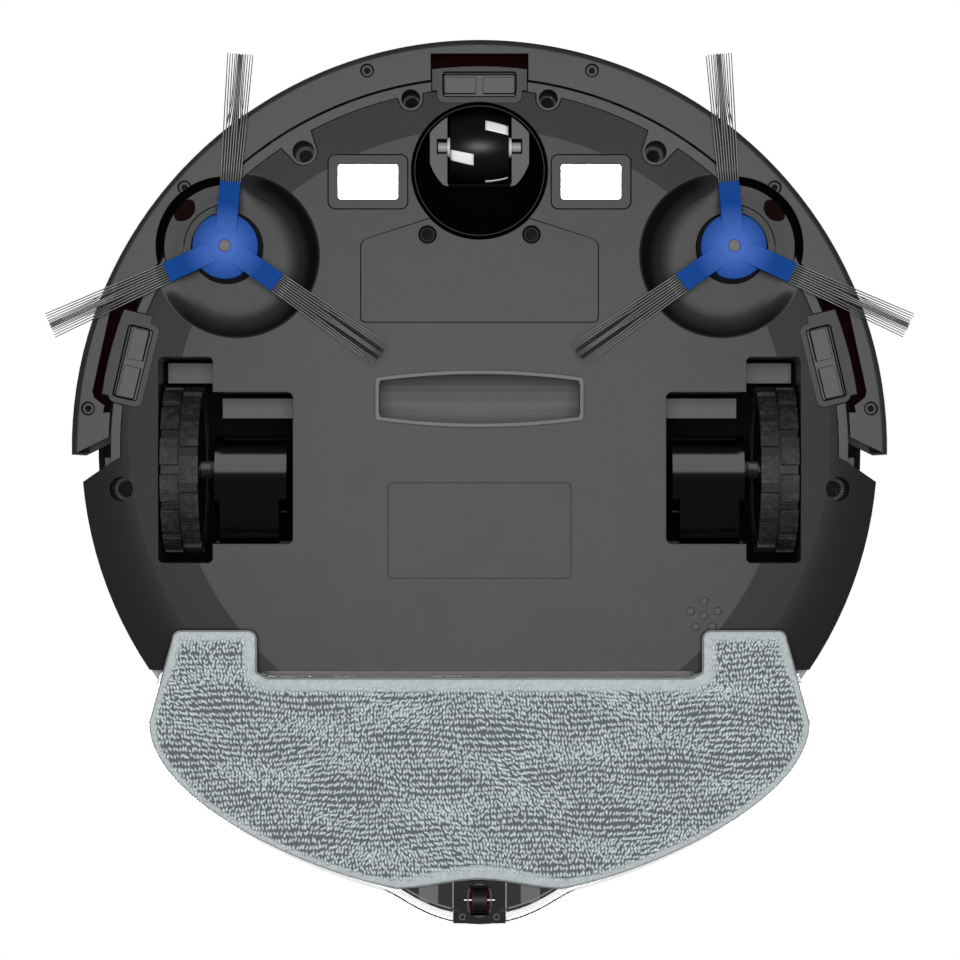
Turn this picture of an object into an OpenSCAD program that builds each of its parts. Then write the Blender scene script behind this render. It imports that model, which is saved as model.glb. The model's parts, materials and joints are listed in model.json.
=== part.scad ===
// Robot vacuum with a suction mouth, two side brushes and a clip-on mop.
// The front faces -Y, up is +Z, and the origin is on the floor under the
// middle of the whole machine. Lengths are in millimetres.

/* [Body] */
// Outer radius of the bumper
bumper_r = 162.5; // [155:0.5:170]
// How far the side wall stands inside the bumper's outline
side_step = 3.3; // [2.5:0.1:4.5]
// How far the wall behind the bumper stands inside the bumper's outline
bumper_depth = 15.5; // [14:0.1:17]
// Height of the underside above the floor
ground_gap = 10; // [9:0.5:11]
// Height of the machine above the tops of the tyres
headroom = 6; // [5:0.5:12]
// Wall of the base and the duct
base_wall = 2.4; // [2:0.2:3]
// Wall of the body ring
ring_wall = 2.6; // [2:0.2:3.5]
// Thickness of the top cover
cover_wall = 2.2; // [1.8:0.2:2.6]
// Height of the top cover's rim
cover_rim = 9; // [7:0.5:10]
// Radius of the flat disc under the body
flat_r = 122.5; // [118:0.5:126]

/* [Bumper] */
// Width of the bumper's bottom flange
flange_w = 14.9; // [13:0.1:15.5]
// Thickness of the bumper
bumper_wall = 2; // [1.6:0.2:2.4]
// How far the bumper can be pushed in
bumper_travel = 3; // [2:0.5:3.5]
// Width of the sensor notch at the front
notch_w = 38.8; // [36:0.4:44]

/* [Drive wheels] */
// Outer radius of a tyre
tyre_r = 33.5; // [32:0.5:34]
// Width of a tyre
tyre_w = 15.1; // [14:0.1:16]
// Middle of a tyre from the middle of the body
wheel_x = 118.95; // [118:0.05:119.5]
// Axle behind the body's centre
wheel_y = 8.8; // [8:0.2:10]
// Tread blocks in one ring
tread_count = 14; // [12:1:18]
// Depth of the tread
tread_depth = 1.6; // [1:0.2:2]
// Radius of the gear motor housing
motor_r = 16.8; // [15:0.2:17.4]

/* [Caster] */
// Radius of the caster wheel
caster_r = 14; // [13:0.5:14.5]
// Width of the caster wheel
caster_w = 23.2; // [22:0.2:24]
// Swivel axis in front of the body's centre
caster_y = 110.3; // [109:0.1:111]
// How far the wheel runs ahead of the swivel axis
caster_trail = 9.5; // [8:0.5:10]
// Radius of the caster's cup
caster_cup_r = 27.3; // [27:0.1:28]

/* [Side brushes] */
// Brush hub from the middle of the body
brush_x = 101.2; // [100:0.2:102]
// Brush hub in front of the body's centre
brush_y = 80.2; // [79:0.2:81]
// Radius of a brush hub
hub_r = 13; // [12:0.5:14]
// Reach of the arms
arm_reach = 25.5; // [24:0.5:26]
// Reach of the bristles
bristle_reach = 76; // [70:1:77]

/* [Suction] */
// Width of the mouth
mouth_w = 83; // [76:1:88]
// Depth of the mouth
mouth_d = 22.7; // [20:0.5:25]
// Middle of the mouth in front of the body's centre
mouth_y = 19.4; // [18:0.2:21]
// Width of the dust bin
bin_w = 120; // [110:2:126]
// Height of the dust bin
bin_h = 30; // [26:1:31]

/* [Mop] */
// Half width of the mop at its widest
mop_half_w = 131.9; // [129:0.1:134]
// Reach of the water tank behind the body's centre
tail_reach = 189.5; // [187:0.5:192]
// Front edge of the mop behind the body's centre
mop_front = 89.5; // [88:0.5:92]
// Thickness of the cloth
cloth_t = 4.4; // [3:0.2:5]
// Height of the water tank
tank_h = 17; // [14:0.5:18]

/* [Hidden] */
$fn = 96;

// Shared clearances
eps = 0.01;
slip = 0.3;         // between pieces that only meet
run = 0.05;         // radial play of a shaft in its bore
seat = 0.2;         // drop-in pieces in their pockets

// The body's circle lies this far from the middle of the whole machine
body_y = (bumper_r - tail_reach) / 2;

// The body's walls
body_r = bumper_r - side_step;
inner_r = bumper_r - bumper_depth;

// Heights
total_h = 2 * tyre_r + headroom;
base_z = ground_gap;
floor_z = base_z + base_wall;
ledge_z = base_z + bumper_wall + 0.4;
cover_z = total_h - cover_rim;
ring_top = cover_z - slip;
bumper_top = cover_z - 1.5;
roof_z = total_h - cover_wall;

// Underside: a flat disc, a shallow cone and a rounded skirt
disc_shift = -4.5;
cone_r = flat_r + 17.5;
cone_slope = 5;
skirt_r = 48.7;
cone_end_z = base_z + (cone_r - flat_r) * tan(cone_slope);
skirt_centre = [cone_r - skirt_r * sin(cone_slope), cone_end_z + skirt_r * cos(cone_slope)];
inside_h = 56;

// Parting line between the base and the ring
part_r = inner_r - 4.1;
part_gap = 0.3;
step_y = 3.9;
step_mid = [part_r + 7.3, 8.1];
step_out = [body_r - 0.8, 13.5];

// Recess round a side brush
bowl_r = 33;
bowl_depth = 11;
bowl_floor_r = 17;

bowl_shift = [4.7, 3.7];
brush_disc_r = 24.4;
flange_bite_r = brush_disc_r + bumper_travel + slip;
bowl_z = base_z + bowl_depth;
land_h = 0.5;
rim_z = bowl_z + base_wall + land_h;
hub_z = 6.2;
shaft_r = 3;

// Wheel well opening
well_in_x = 106.2;
well_out_x = 128;
well_front = -36.1;
well_back = 45.9;
bay_in_x = 74.3;
bay_front = -22.1;
bay_back = 38.3;
well_wall = 1.6;
shelf_z = 41;
well_low = cone_end_z + base_wall + slip;
well_top = roof_z - slip;

// Wheel arm
pivot_y = 40;
pivot_z = 30;
pin_r = 2.5;
boss_r = 6;
ear_t = 2.6;
motor_y = 12;
motor_z = 34;
motor_in_x = 77.2;
motor_out_x = 106.2;
stub_r = 3.5;
spring_x = 92;
spring_y = 6;
spring_r = 4;
spring_wire = 0.7;

// Drive wheel
rim_r = tyre_r - 6;
tyre_outer_x = wheel_x + tyre_w / 2;
ring_gap = 0.8;

// Caster
caster_stem_r = 4;
caster_cup_top = 34;
caster_stem_top = 45;
fork_r = 24.6;
fork_face_z = 9;
fork_top_z = 30.5;
slot_w = caster_w + 2.4;
caster_axle_r = 2;
caster_axle_half = 16.5;
washer_r = 4;
washer_t = (slot_w - caster_w) / 2 - 2 * run;
caster_axis = [0, -caster_y - caster_trail, caster_r];

// Screws
front_wells = [[27.4, -139.1, 3.7], [70.2, -118, 4.3]];
side_well = [142.9, 16.5, 4.8];
side_screw_r = 3.2;
well_depth_z = 38;
screw_r = 2.6;
bumper_screw_at = [for (a = [-73.4, -41.4, -5.7]) (bumper_r - 5.9) * [cos(a), sin(a)]];
bumper_screw_r = 2.6;
battery_screw_at = [20.7, -84.8];

// Sensor windows
cliff_w = 29;
cliff_d = 9;
cliff_r = 141.6;
cliff_side_a = 13.7;
cliff_front_y = -144.1;
pad_rim = 2.4;
tab_r = bumper_r - 10.7;
side_tab = [20, 14.8];   // how far the side tab runs forward and back of its window

// Charge contacts
contact_at = [44.4, -105.8];
contact_size = [24.2, 14.2];
contact_frame = [32, 21.9];

// Battery
battery_w = 94.4;
battery_front = -83;
battery_back = -50;
battery_taper = [19.5, -91.3];
pack_size = [84, 30, 34];
pack_y = -66;

// The bumper's upper shelf ends this far in, clear of the ring when pushed home
bumper_shelf = bumper_r - inner_r - bumper_travel - 0.9;

// Main board on its posts
board_z = 52.3;
board_post_x = 54;
board_post_y = [-126, -47];

// Suction path
duct_end_y = 22;
duct_out_z = 31;
duct_out_h = 20;
lip_proud = 2;
lip_w = 1.6;

// Dust bin
bin_z = 28.4;
bin_front = duct_end_y + 2;
bin_wall = 1.8;
bin_gap = 0.5;
bin_rib_t = 1.2;
lid_t = 1.8;

// Fan
fan_at = [-88, 84];
fan_r = 24;
fan_z = 30;
fan_h = 22;

// Mop and tank
cloth_z = 0.25;
plate_z = cloth_z + cloth_t + slip;
plate_t = 2;
tank_z = plate_z + plate_t;
tank_top = tank_z + tank_h;
tank_wall = 1.6;
recess_z = tank_top + 0.6;
mop_gap = 0.6;
ear_in = 87.2;
ear_out = 122.8;
ear_front = 71.4;
ear_corner = 4;
cloth_inset = 0.9;
roller_y = 179.4;
roller_w = 5.9;
roller_r = 4.7;
roller_axle_r = 0.7;
roller_half = 6.2;
roller_box_w = 20.8;
roller_box = [171.7, 188.4];

// ---------------------------------------------------------------- helpers

function arc(c, r, a0, a1, n) = [for (i = [0:n])
    [c[0] + r * cos(a0 + (a1 - a0) * i / n), c[1] + r * sin(a0 + (a1 - a0) * i / n)]];

function bezier(p, q, s, t, n) = [for (i = [0:n])
    let (k = i / n, m = 1 - k)
    pow(m, 3) * p + 3 * m * m * k * q + 3 * m * k * k * s + pow(k, 3) * t];

function flip_x(points) = [for (i = [len(points) - 1:-1:0]) [-points[i][0], points[i][1]]];

module at_body() {
    translate([0, body_y, 0]) children();
}

module both_sides() {
    children();
    mirror([1, 0, 0]) children();
}

module one_side(side) {
    if (side == "left") children();
    else mirror([1, 0, 0]) children();
}

module rounded(w, d, r) {
    square([w - 2 * r, d], center = true);
    square([w, d - 2 * r], center = true);
    for (x = [-1, 1], y = [-1, 1]) translate([x * (w / 2 - r), y * (d / 2 - r)]) circle(r);
}

module block(x0, x1, y0, y1, z0, z1) {
    translate([x0, y0, z0]) cube([x1 - x0, y1 - y0, z1 - z0]);
}

module disc(x, y, r, z0, z1) {
    translate([x, y, z0]) cylinder(h = z1 - z0, r = r);
}

module rod_x(x0, x1, y, z, r) {
    translate([x0, y, z]) rotate([0, 90, 0]) cylinder(h = x1 - x0, r = r);
}

// A coil of round wire that stands on z = 0
module coil(r, wire, h, turns, steps = 14, sides = 6) {
    rise = h - 2 * wire;
    count = turns * steps;
    rings = [for (i = [0:count])
        let (a = 360 * i / steps, z = wire + rise * i / count)
        [for (j = [0:sides - 1])
            let (b = 360 * j / sides, d = r + wire * cos(b))
            [d * cos(a), d * sin(a), z + wire * sin(b)]]];
    faces = concat(
        [[for (j = [0:sides - 1]) j]],
        [[for (j = [sides - 1:-1:0]) count * sides + j]],
        [for (i = [0:count - 1], j = [0:sides - 1])
            [i * sides + j, (i + 1) * sides + j, (i + 1) * sides + (j + 1) % sides,
             i * sides + (j + 1) % sides]]);
    polyhedron([for (ring = rings) for (p = ring) p], faces, convexity = 8);
}

// ---------------------------------------------------------------- outlines

module rear_sector(grow = 0) {
    polygon([[part_r - grow, step_y - grow], step_mid + [-grow / 2, -grow],
        step_out + [-grow / 2, -grow], [260, 80], [260, 260], [-260, 260], [-260, 80],
        [-step_out[0] + grow / 2, step_out[1] - grow],
        [-step_mid[0] + grow / 2, step_mid[1] - grow], [-part_r + grow, step_y - grow]]);
}

module mop_outline() {
    side_at = [mop_half_w, 108];
    dip = [38, tail_reach - 13.6];
    half = concat(
        bezier([0, tail_reach], [20, tail_reach], [29, tail_reach - 10], dip, 12),
        bezier(dip, dip + [32, -8], [mop_half_w, 140], side_at, 16),
        arc([ear_out - ear_corner, ear_front + ear_corner], ear_corner, 0, -90, 5),
        arc([ear_in + ear_corner, ear_front + ear_corner], ear_corner, -90, -180, 5),
        [[ear_in, mop_front - 1.2], [ear_in - 3, mop_front + 1.3]]);
    polygon(concat(half, flip_x(half)));
}

module cloth_outline() {
    side_at = [mop_half_w - cloth_inset, 109];
    crest = [33, 174.9];
    ear_r = 3.6;
    half = concat(
        bezier([0, 171.2], [12, 171.4], [22, crest[1]], crest, 8),
        bezier(crest, crest + [35, -6.4], [side_at[0], 140], side_at, 16),
        arc([ear_out - cloth_inset - ear_r, ear_front + cloth_inset + ear_r], ear_r, 0, -90, 5),
        arc([ear_in + cloth_inset + ear_r, ear_front + cloth_inset + ear_r], ear_r, -90, -180, 5),
        [[ear_in + cloth_inset, mop_front - 0.6], [ear_in - 3.2, mop_front + 1.6]]);
    polygon(concat(half, flip_x(half)));
}

module mouth_outline(grow = 0) {
    lens_r = 300;
    half_w = mouth_w / 2 + grow;
    half_d = mouth_d / 2 + grow;
    end_r = 5;
    translate([0, -mouth_y]) intersection() {
        translate([0, lens_r - half_d]) circle(lens_r, $fn = 180);
        translate([0, half_d - lens_r]) circle(lens_r, $fn = 180);
        rounded(2 * half_w, 2 * half_d, end_r);
    }
}

module well_outline(grow = 0) {
    g = grow;
    bay_mid = (bay_front + bay_back) / 2;
    well_mid = (well_front + well_back) / 2;
    bay_far = well_out_x - 4;
    translate([(well_in_x + well_out_x) / 2, well_mid])
        rounded(well_out_x - well_in_x + 2 * g, well_back - well_front + 2 * g, 2 + g);
    translate([(bay_in_x + bay_far) / 2, bay_mid])
        rounded(bay_far - bay_in_x + 2 * g, bay_back - bay_front + 2 * g, 2.4 + g);
}

module battery_outline(grow = 0) {
    w = battery_w / 2 + grow;
    corner = 2;
    half = concat(
        arc([w - corner, battery_back + grow - corner], corner, 90, 0, 4),
        [[w, battery_front + 2], [w - 1.6, battery_front]],
        [[battery_taper[0], battery_taper[1] - grow]]);
    polygon(concat(half, flip_x(half)));
}

// Half section of the dish round a brush: its floor, then two tangent arcs
// that lead down to the underside. The section is thickened by d.
module bowl_section(d) {
    width = bowl_r - bowl_floor_r;
    lean = 2 * atan(bowl_depth / width);
    arc_r = bowl_depth / (2 * (1 - cos(lean)));
    low = base_z - 2;
    rim_crease = 0.35;
    bend = [bowl_floor_r + width / 2 + d * sin(lean), bowl_z - bowl_depth / 2 + d * cos(lean)];
    translate([0, low]) square([bowl_floor_r, bowl_z + d - low]);
    intersection() {
        translate([bowl_floor_r, bowl_z - arc_r]) circle(arc_r + d);
        translate([bowl_floor_r, low]) square([bend[0] - bowl_floor_r, bowl_z + d - low]);
    }
    difference() {
        translate([bend[0], low]) square([bowl_r - bend[0], bend[1] - low]);
        translate([bowl_r, base_z + arc_r - rim_crease]) circle(arc_r - d);
    }
}

module at_bowl() {
    translate([brush_x - bowl_shift[0], -brush_y + bowl_shift[1], 0]) children();
}

module bowl_space() {
    at_bowl() rotate_extrude() bowl_section(0);
    disc(brush_x, -brush_y, bowl_floor_r + 0.5, base_z - 1, bowl_z + land_h);
}

module bowl_wall() {
    at_bowl() rotate_extrude() bowl_section(base_wall);
    disc(brush_x, -brush_y, brush_disc_r + 1, floor_z - 1, bowl_z + base_wall + land_h);
}

module screw(x, y, head_z, r = screw_r, head_h = 1.8, shank = 7) {
    cross_w = r * 0.35;
    translate([x, y, head_z]) difference() {
        union() {
            cylinder(h = head_h, r = r);
            cylinder(h = head_h + shank, r = r * 0.5);
        }
        for (a = [0, 90]) rotate(a) translate([-r * 0.62, -cross_w / 2, -eps])
            cube([r * 1.24, cross_w, head_h * 0.6]);
    }
}

// ------------------------------------------------------------------- base

// Half section of what lies above the underside, pushed up by d
module skirt_section(d) {
    polygon([[0, base_z + d], [flat_r, base_z + d], [cone_r, cone_end_z + d],
        [cone_r, inside_h], [0, inside_h]]);
    intersection() {
        translate(skirt_centre) circle(skirt_r - d, $fn = 360);
        translate([cone_r - 1, base_z + d]) square([40, inside_h - base_z - d]);
    }
}

module above_skirt(d = 0) {
    translate([0, disc_shift, 0]) rotate_extrude($fn = 180) skirt_section(d);
}

module skirt_skin(d) {
    translate([0, disc_shift, 0]) rotate_extrude($fn = 180) difference() {
        translate([0, base_z - 1]) square([skirt_centre[0] + 32, 36]);
        skirt_section(d);
    }
}

module well_notch(w, grow = 0) {
    r = w[2] + 1.4 + grow;
    translate([w[0], w[1]]) rotate(atan2(w[1], w[0]) + 90) {
        circle(r);
        polygon([[-r, 0], [r, 0], [r + 3, -12], [-r - 3, -12]]);
    }
}

module base_footprint(grow = 0) {
    difference() {
        union() {
            circle(part_r + grow, $fn = 180);
            intersection() {
                circle(body_r + grow, $fn = 180);
                rear_sector(grow);
            }
            both_sides() translate([brush_x, -brush_y]) circle(brush_disc_r + grow);
        }
        both_sides() for (w = front_wells) well_notch(w, -grow);
    }
}

// A sensor's raised pad, with the tab that reaches out behind the bumper's slot
module pad_outline(grow = 0) {
    rounded(cliff_w + 2 * (pad_rim + grow), cliff_d + 2 * (pad_rim + grow), 3 + grow);
}

module front_pad(grow = 0) {
    translate([0, cliff_front_y]) pad_outline(grow);
    intersection() {
        circle(tab_r + grow, $fn = 180);
        translate([0, cliff_front_y - 4]) square([notch_w - 1 + 2 * grow, 12], center = true);
    }
}

module side_pad(grow = 0) {
    rotate(-cliff_side_a) translate([cliff_r, 0]) rotate(90) pad_outline(grow);
    intersection() {
        circle(tab_r + grow, $fn = 180);
        rotate(-cliff_side_a) translate([tab_r - 13, -side_tab[0] - grow])
            square([14, side_tab[0] + side_tab[1] + 2 * grow]);
    }
}

module side_window_place() {
    rotate(-cliff_side_a) translate([cliff_r, 0, 0]) rotate(90) children();
}

module window_cut() {
    translate([0, 0, base_z - 1]) linear_extrude(height = 8) rounded(cliff_w, cliff_d, 1);
}

module battery_walls(grow) {
    w = pack_size[0] + 2 * grow;
    d = pack_size[1] + 2 * grow;
    translate([-w / 2, pack_y - d / 2, 0]) cube([w, d, pack_size[2] * 0.7 + floor_z]);
}

module base_body() {
    intersection() {
        above_skirt();
        translate([0, 0, base_z]) linear_extrude(height = inside_h - base_z - 2)
            base_footprint();
        union() {
            skirt_skin(base_wall);
            difference() {
                disc(0, 0, body_r + 1, base_z, rim_z);
                disc(0, 0, body_r - ring_wall, base_z - 1, rim_z + 1);
                block(-170, 170, -170, step_out[1] + 2, 0, rim_z + 1);
            }
            both_sides() {
                bowl_wall();
                disc(side_well[0], side_well[1], side_well[2] + 1.6, floor_z, well_depth_z);
            }
            difference() {
                battery_walls(slip + 1.6);
                battery_walls(slip);
            }
            block(-mop_half_w, mop_half_w, mop_front - mop_gap - base_wall,
                mop_front - mop_gap, base_z, recess_z + base_wall);
            block(-160, 160, mop_front - mop_gap - base_wall, 160, recess_z,
                recess_z + base_wall);
            both_sides() block(bin_w / 2 + bin_gap, bin_w / 2 + bin_gap + bin_rib_t, duct_end_y,
                mop_front - 1.5, floor_z, bin_z + 4.6);
            block(-bin_w / 2 - 1, bin_w / 2 + 1, duct_end_y + 3, mop_front - 1.5, recess_z,
                bin_z - slip);
            both_sides() for (y = board_post_y) disc(board_post_x, y, 3.4, floor_z, board_z - 0.3);
        }
    }
}

module base_shell() {
    color([0.34, 0.34, 0.35]) at_body() difference() {
        union() {
            base_body();
            translate([0, 0, base_z]) linear_extrude(height = base_wall + 2) front_pad();
            both_sides() translate([0, 0, base_z]) linear_extrude(height = base_wall + 2)
                side_pad();
        }
        both_sides() {
            bowl_space();
            disc(brush_x, -brush_y, 14.6, base_z, bowl_z + 5);
            translate([0, 0, base_z - 1]) linear_extrude(height = 20) well_outline();
            disc(side_well[0], side_well[1], side_well[2], base_z - 1, well_depth_z - 2);
            disc(side_well[0], side_well[1], side_screw_r / 2 + run, base_z, well_depth_z + 1);
            disc(battery_screw_at[0], battery_screw_at[1], 1.4, base_z, floor_z + 9);
            side_window_place() window_cut();
            translate([contact_at[0], contact_at[1], base_z - 1]) linear_extrude(height = 8)
                rounded(contact_frame[0], contact_frame[1], 3);
        }
        translate([0, cliff_front_y, 0]) window_cut();
        disc(0, -caster_y, caster_cup_r, base_z - 1, floor_z + 10);
        translate([0, 0, base_z - 1]) linear_extrude(height = 12) mouth_outline(-0.6);
        translate([0, 0, base_z - 1]) linear_extrude(height = base_wall + 1 + slip)
            battery_outline(seat);
        block(-160, 160, mop_front - mop_gap, 170, 0, recess_z);
        for (p = speaker_holes()) disc(p[0], p[1], 1.5, base_z - 1, floor_z + 1);
        translate([0, 33, base_z - 1]) linear_extrude(height = 1.3) rounded(72.7, 38, 2);
    }
}

speaker_at = [89.4, 66.8];
function speaker_holes() = concat([speaker_at],
    [for (i = [0:4]) speaker_at + 5.6 * [cos(72 * i - 90), sin(72 * i - 90)]]);

module body_ring() {
    color([0.08, 0.08, 0.085]) at_body() difference() {
        union() {
            intersection() {
                wall_hoop(inner_r);
                block(-160, 160, -160, step_y + ring_wall, ledge_z, ring_top);
            }
            intersection() {
                wall_hoop(body_r);
                block(-160, 160, step_out[1], 160, rim_z, ring_top);
            }
            both_sides() intersection() {
                translate([0, 0, rim_z]) linear_extrude(height = ring_top - rim_z)
                    step_section();
                disc(0, 0, body_r, rim_z, ring_top);
            }
            translate([0, 0, ledge_z]) linear_extrude(height = 2.6) difference() {
                circle(inner_r - 0.5, $fn = 180);
                base_footprint(part_gap);
            }
            both_sides() for (w = front_wells)
                disc(w[0], w[1], w[2] + 1, ledge_z, well_depth_z);
        }
        translate([0, 0, base_z - 1]) linear_extrude(height = rim_z + part_gap - base_z + 1)
            base_footprint(part_gap);
        both_sides() {
            for (w = front_wells) {
                disc(w[0], w[1], w[2], ledge_z - 1, well_depth_z - 2);
                disc(w[0], w[1], 1.5, ledge_z, well_depth_z + 1);
            }
        }
        translate([0, 0, base_z - 1]) linear_extrude(height = base_wall + 4) front_pad(slip);
        both_sides() translate([0, 0, base_z - 1]) linear_extrude(height = base_wall + 4)
            side_pad(slip);
        block(-160, 160, mop_front - mop_gap - base_wall - slip, 170, 0,
            recess_z + base_wall + slip);
        block(-bin_w / 2 - bin_gap, bin_w / 2 + bin_gap, 100, 170, bin_z - 1,
            bin_z + bin_h + bin_gap);
        rotate(switch_a) block(body_r - 10, body_r + 1, -8.4, 8.4, 30, 43);
    }
}

// The wall's step outwards behind the bumper's end
module step_section() {
    x = 150.5;
    in_y = step_y + ring_wall;
    polygon([[inner_r - ring_wall + 0.2, step_y], [x, step_y], [x, step_mid[1]], step_out,
        [body_r + 1, step_out[1] + 2.6], [step_out[0] - 2.2, step_out[1] + 3],
        [x - ring_wall, step_mid[1] + 2], [x - ring_wall, in_y], [inner_r - ring_wall + 0.2, in_y]]);
}

module wall_hoop(r) {
    difference() {
        disc(0, 0, r, ledge_z, ring_top);
        disc(0, 0, r - ring_wall, ledge_z - 1, ring_top + 1);
    }
}

cover_r = body_r - 2;
cover_round = 5;
inlay_r = 46;
inlay_y = 30;
button_at = [0, -96];
button_r = 9;

module top_cover() {
    color([0.09, 0.09, 0.1]) at_body() difference() {
        rotate_extrude($fn = 180) {
            difference() {
                union() {
                    translate([0, cover_z]) square([cover_r - cover_round, cover_rim]);
                    translate([0, cover_z]) square([cover_r, cover_rim - cover_round]);
                    translate([cover_r - cover_round, total_h - cover_round])
                        circle(cover_round);
                }
                translate([-200, 0]) square([200, 200]);
                translate([0, cover_z - 1]) square([cover_r - cover_wall - cover_round,
                    roof_z - cover_z + 1]);
                translate([0, cover_z - 1]) square([cover_r - cover_wall,
                    roof_z - cover_z - cover_round + 2]);
            }
        }
        disc(0, inlay_y, inlay_r, total_h - 1.2, total_h + 1);
        disc(button_at[0], button_at[1], button_r + 2.2, total_h - 1, total_h + 1);
        disc(button_at[0], button_at[1], button_r + seat, roof_z - 2, total_h + 1);
    }
}

module top_inlay() {
    color([0.16, 0.16, 0.18]) at_body()
        translate([0, inlay_y, total_h - 1.2]) rotate_extrude() difference() {
            square([inlay_r - seat, 1.1]);
            translate([inlay_r * 0.62, 0.7]) square([1.2, 1]);
        }
}

module light_ring() {
    color([0.8, 0.9, 1]) at_body() translate([button_at[0], button_at[1], total_h - 1])
        rotate_extrude() translate([button_r + seat, 0]) square([1.8, 0.9]);
}

module start_button() {
    color([0.14, 0.14, 0.15]) at_body() translate([button_at[0], button_at[1], 0]) {
        translate([0, 0, roof_z - 1]) cylinder(h = total_h + 0.3 - roof_z + 1, r = button_r - 0.1);
        translate([0, 0, roof_z - 2.4]) cylinder(h = 1.7, r = button_r + 1.6);
        translate([0, 0, roof_z - 9]) cylinder(h = 8, r = 2.4);
    }
}

module battery_cover() {
    color([0.34, 0.34, 0.35]) at_body() difference() {
        translate([0, 0, base_z]) linear_extrude(height = base_wall) battery_outline();
        disc(0, -caster_y, caster_cup_r + seat, base_z - 1, floor_z + 1);
        both_sides() {
            disc(battery_screw_at[0], battery_screw_at[1], 3.5, base_z - 1, base_z + 1.5);
            disc(battery_screw_at[0], battery_screw_at[1], 1.5, base_z - 1, floor_z + 1);
        }
    }
}

module battery_pack() {
    cell_r = 9;
    color([0.12, 0.25, 0.45]) at_body() {
        translate([-pack_size[0] / 2 + 4, pack_y, floor_z + slip + seat])
            rotate([90, 0, 90]) linear_extrude(height = pack_size[0] - 8)
                translate([0, pack_size[2] / 2]) rounded(pack_size[1], pack_size[2] - 1, 6);
        both_sides() translate([pack_size[0] / 2 - 4, pack_y, floor_z + slip + seat])
            rotate([90, 0, 90]) linear_extrude(height = 3.4)
                translate([0, pack_size[2] / 2]) rounded(pack_size[1] - 3, pack_size[2] - 4, 5);
    }
}

module main_board() {
    color([0.05, 0.3, 0.15]) at_body() {
        difference() {
            translate([0, -86, board_z]) linear_extrude(height = 1.6) rounded(116, 86, 4);
            both_sides() for (y = board_post_y)
                disc(board_post_x, y, 1.5, board_z - 1, board_z + 3);
        }
        translate([0, 0, board_z + 1.6]) {
            block(-12, 12, -92, -68, 0, 2.4);
            block(24, 34, -76, -66, 0, 1.8);
            block(-40, -32, -120, -104, 0, 6);
            block(28, 48, -124, -116, 0, 6.5);
            both_sides() for (y = [-60, -98]) disc(46, y, 4, 0, 8);
            block(-30, 30, -52, -47, 0, 5);
        }
    }
}

// ---------------------------------------------------------------- suction

module mouth_lip() {
    color([0.15, 0.15, 0.16]) at_body() {
        translate([0, 0, base_z - lip_proud]) linear_extrude(height = lip_proud)
            difference() {
                mouth_outline();
                mouth_outline(-lip_w);
            }
        translate([0, 0, base_z]) linear_extrude(height = base_wall) difference() {
            mouth_outline(-0.8);
            mouth_outline(-lip_w);
        }
    }
}

duct_front = -mouth_y - mouth_d / 2 + lip_w;
duct_rear = -mouth_y + mouth_d / 2 - lip_w;
function duct_top(d) = bezier([duct_front - d, floor_z + slip], [duct_front - d, 34],
    [-8, duct_out_z + duct_out_h + d], [duct_end_y, duct_out_z + duct_out_h + d], 12);
function duct_bottom(d) = bezier([duct_end_y, duct_out_z + d], [2, duct_out_z + d],
    [duct_rear - d, 24], [duct_rear - d, floor_z + slip], 10);

module duct_slab(d, w) {
    translate([-w / 2, 0, 0]) rotate([90, 0, 90]) linear_extrude(height = w)
        polygon(concat(duct_top(d), duct_bottom(-d)));
}

module suction_duct() {
    color([0.36, 0.36, 0.37]) at_body() difference() {
        duct_slab(1.8, mouth_w + 1.2);
        duct_slab(0, mouth_w - 2.4);
        block(-mouth_w / 2 + 1.2, mouth_w / 2 - 1.2, duct_end_y - 1, duct_end_y + 1,
            duct_out_z, duct_out_z + duct_out_h);
        block(-mouth_w / 2 + 1.2, mouth_w / 2 - 1.2, duct_front, duct_rear, 5,
            floor_z + 1);
    }
}

module dust_bin() {
    wall = bin_wall;
    half = bin_w / 2;
    lid_z = bin_z + bin_h - lid_t;
    color([0.2, 0.2, 0.22]) at_body() difference() {
        intersection() {
            block(-half, half, bin_front, 170, bin_z, lid_z);
            translate([0, 0, bin_z - 1]) cylinder(h = bin_h + 2, r = body_r, $fn = 180);
        }
        intersection() {
            block(-half + wall, half - wall, bin_front + wall, 170, bin_z + wall, lid_z + 1);
            translate([0, 0, bin_z - 1]) cylinder(h = bin_h + 2, r = body_r - 14, $fn = 180);
        }
        block(-mouth_w / 2 + 3, mouth_w / 2 - 3, bin_front - 1, bin_front + wall + 1,
            duct_out_z + 1, duct_out_z + duct_out_h - 1);
        block(-half - 1, -half + wall + 1, 62, 98, fan_z + 5, fan_z + 19);
        block(-latch_w / 2 - seat, latch_w / 2 + seat, body_r - 11, body_r + 2,
            latch_z - latch_h / 2 - seat, latch_z + latch_h / 2 + seat);
    }
}

latch_w = 26;
latch_h = 9;
latch_z = bin_z + bin_h * 0.55;

module bin_latch() {
    color([0.3, 0.3, 0.32]) at_body() {
        intersection() {
            block(-latch_w / 2, latch_w / 2, body_r - 8, body_r + 2,
                latch_z - latch_h / 2, latch_z + latch_h / 2);
            cylinder(h = 80, r = body_r + 0.2, $fn = 180);
        }
    }
}

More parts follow.
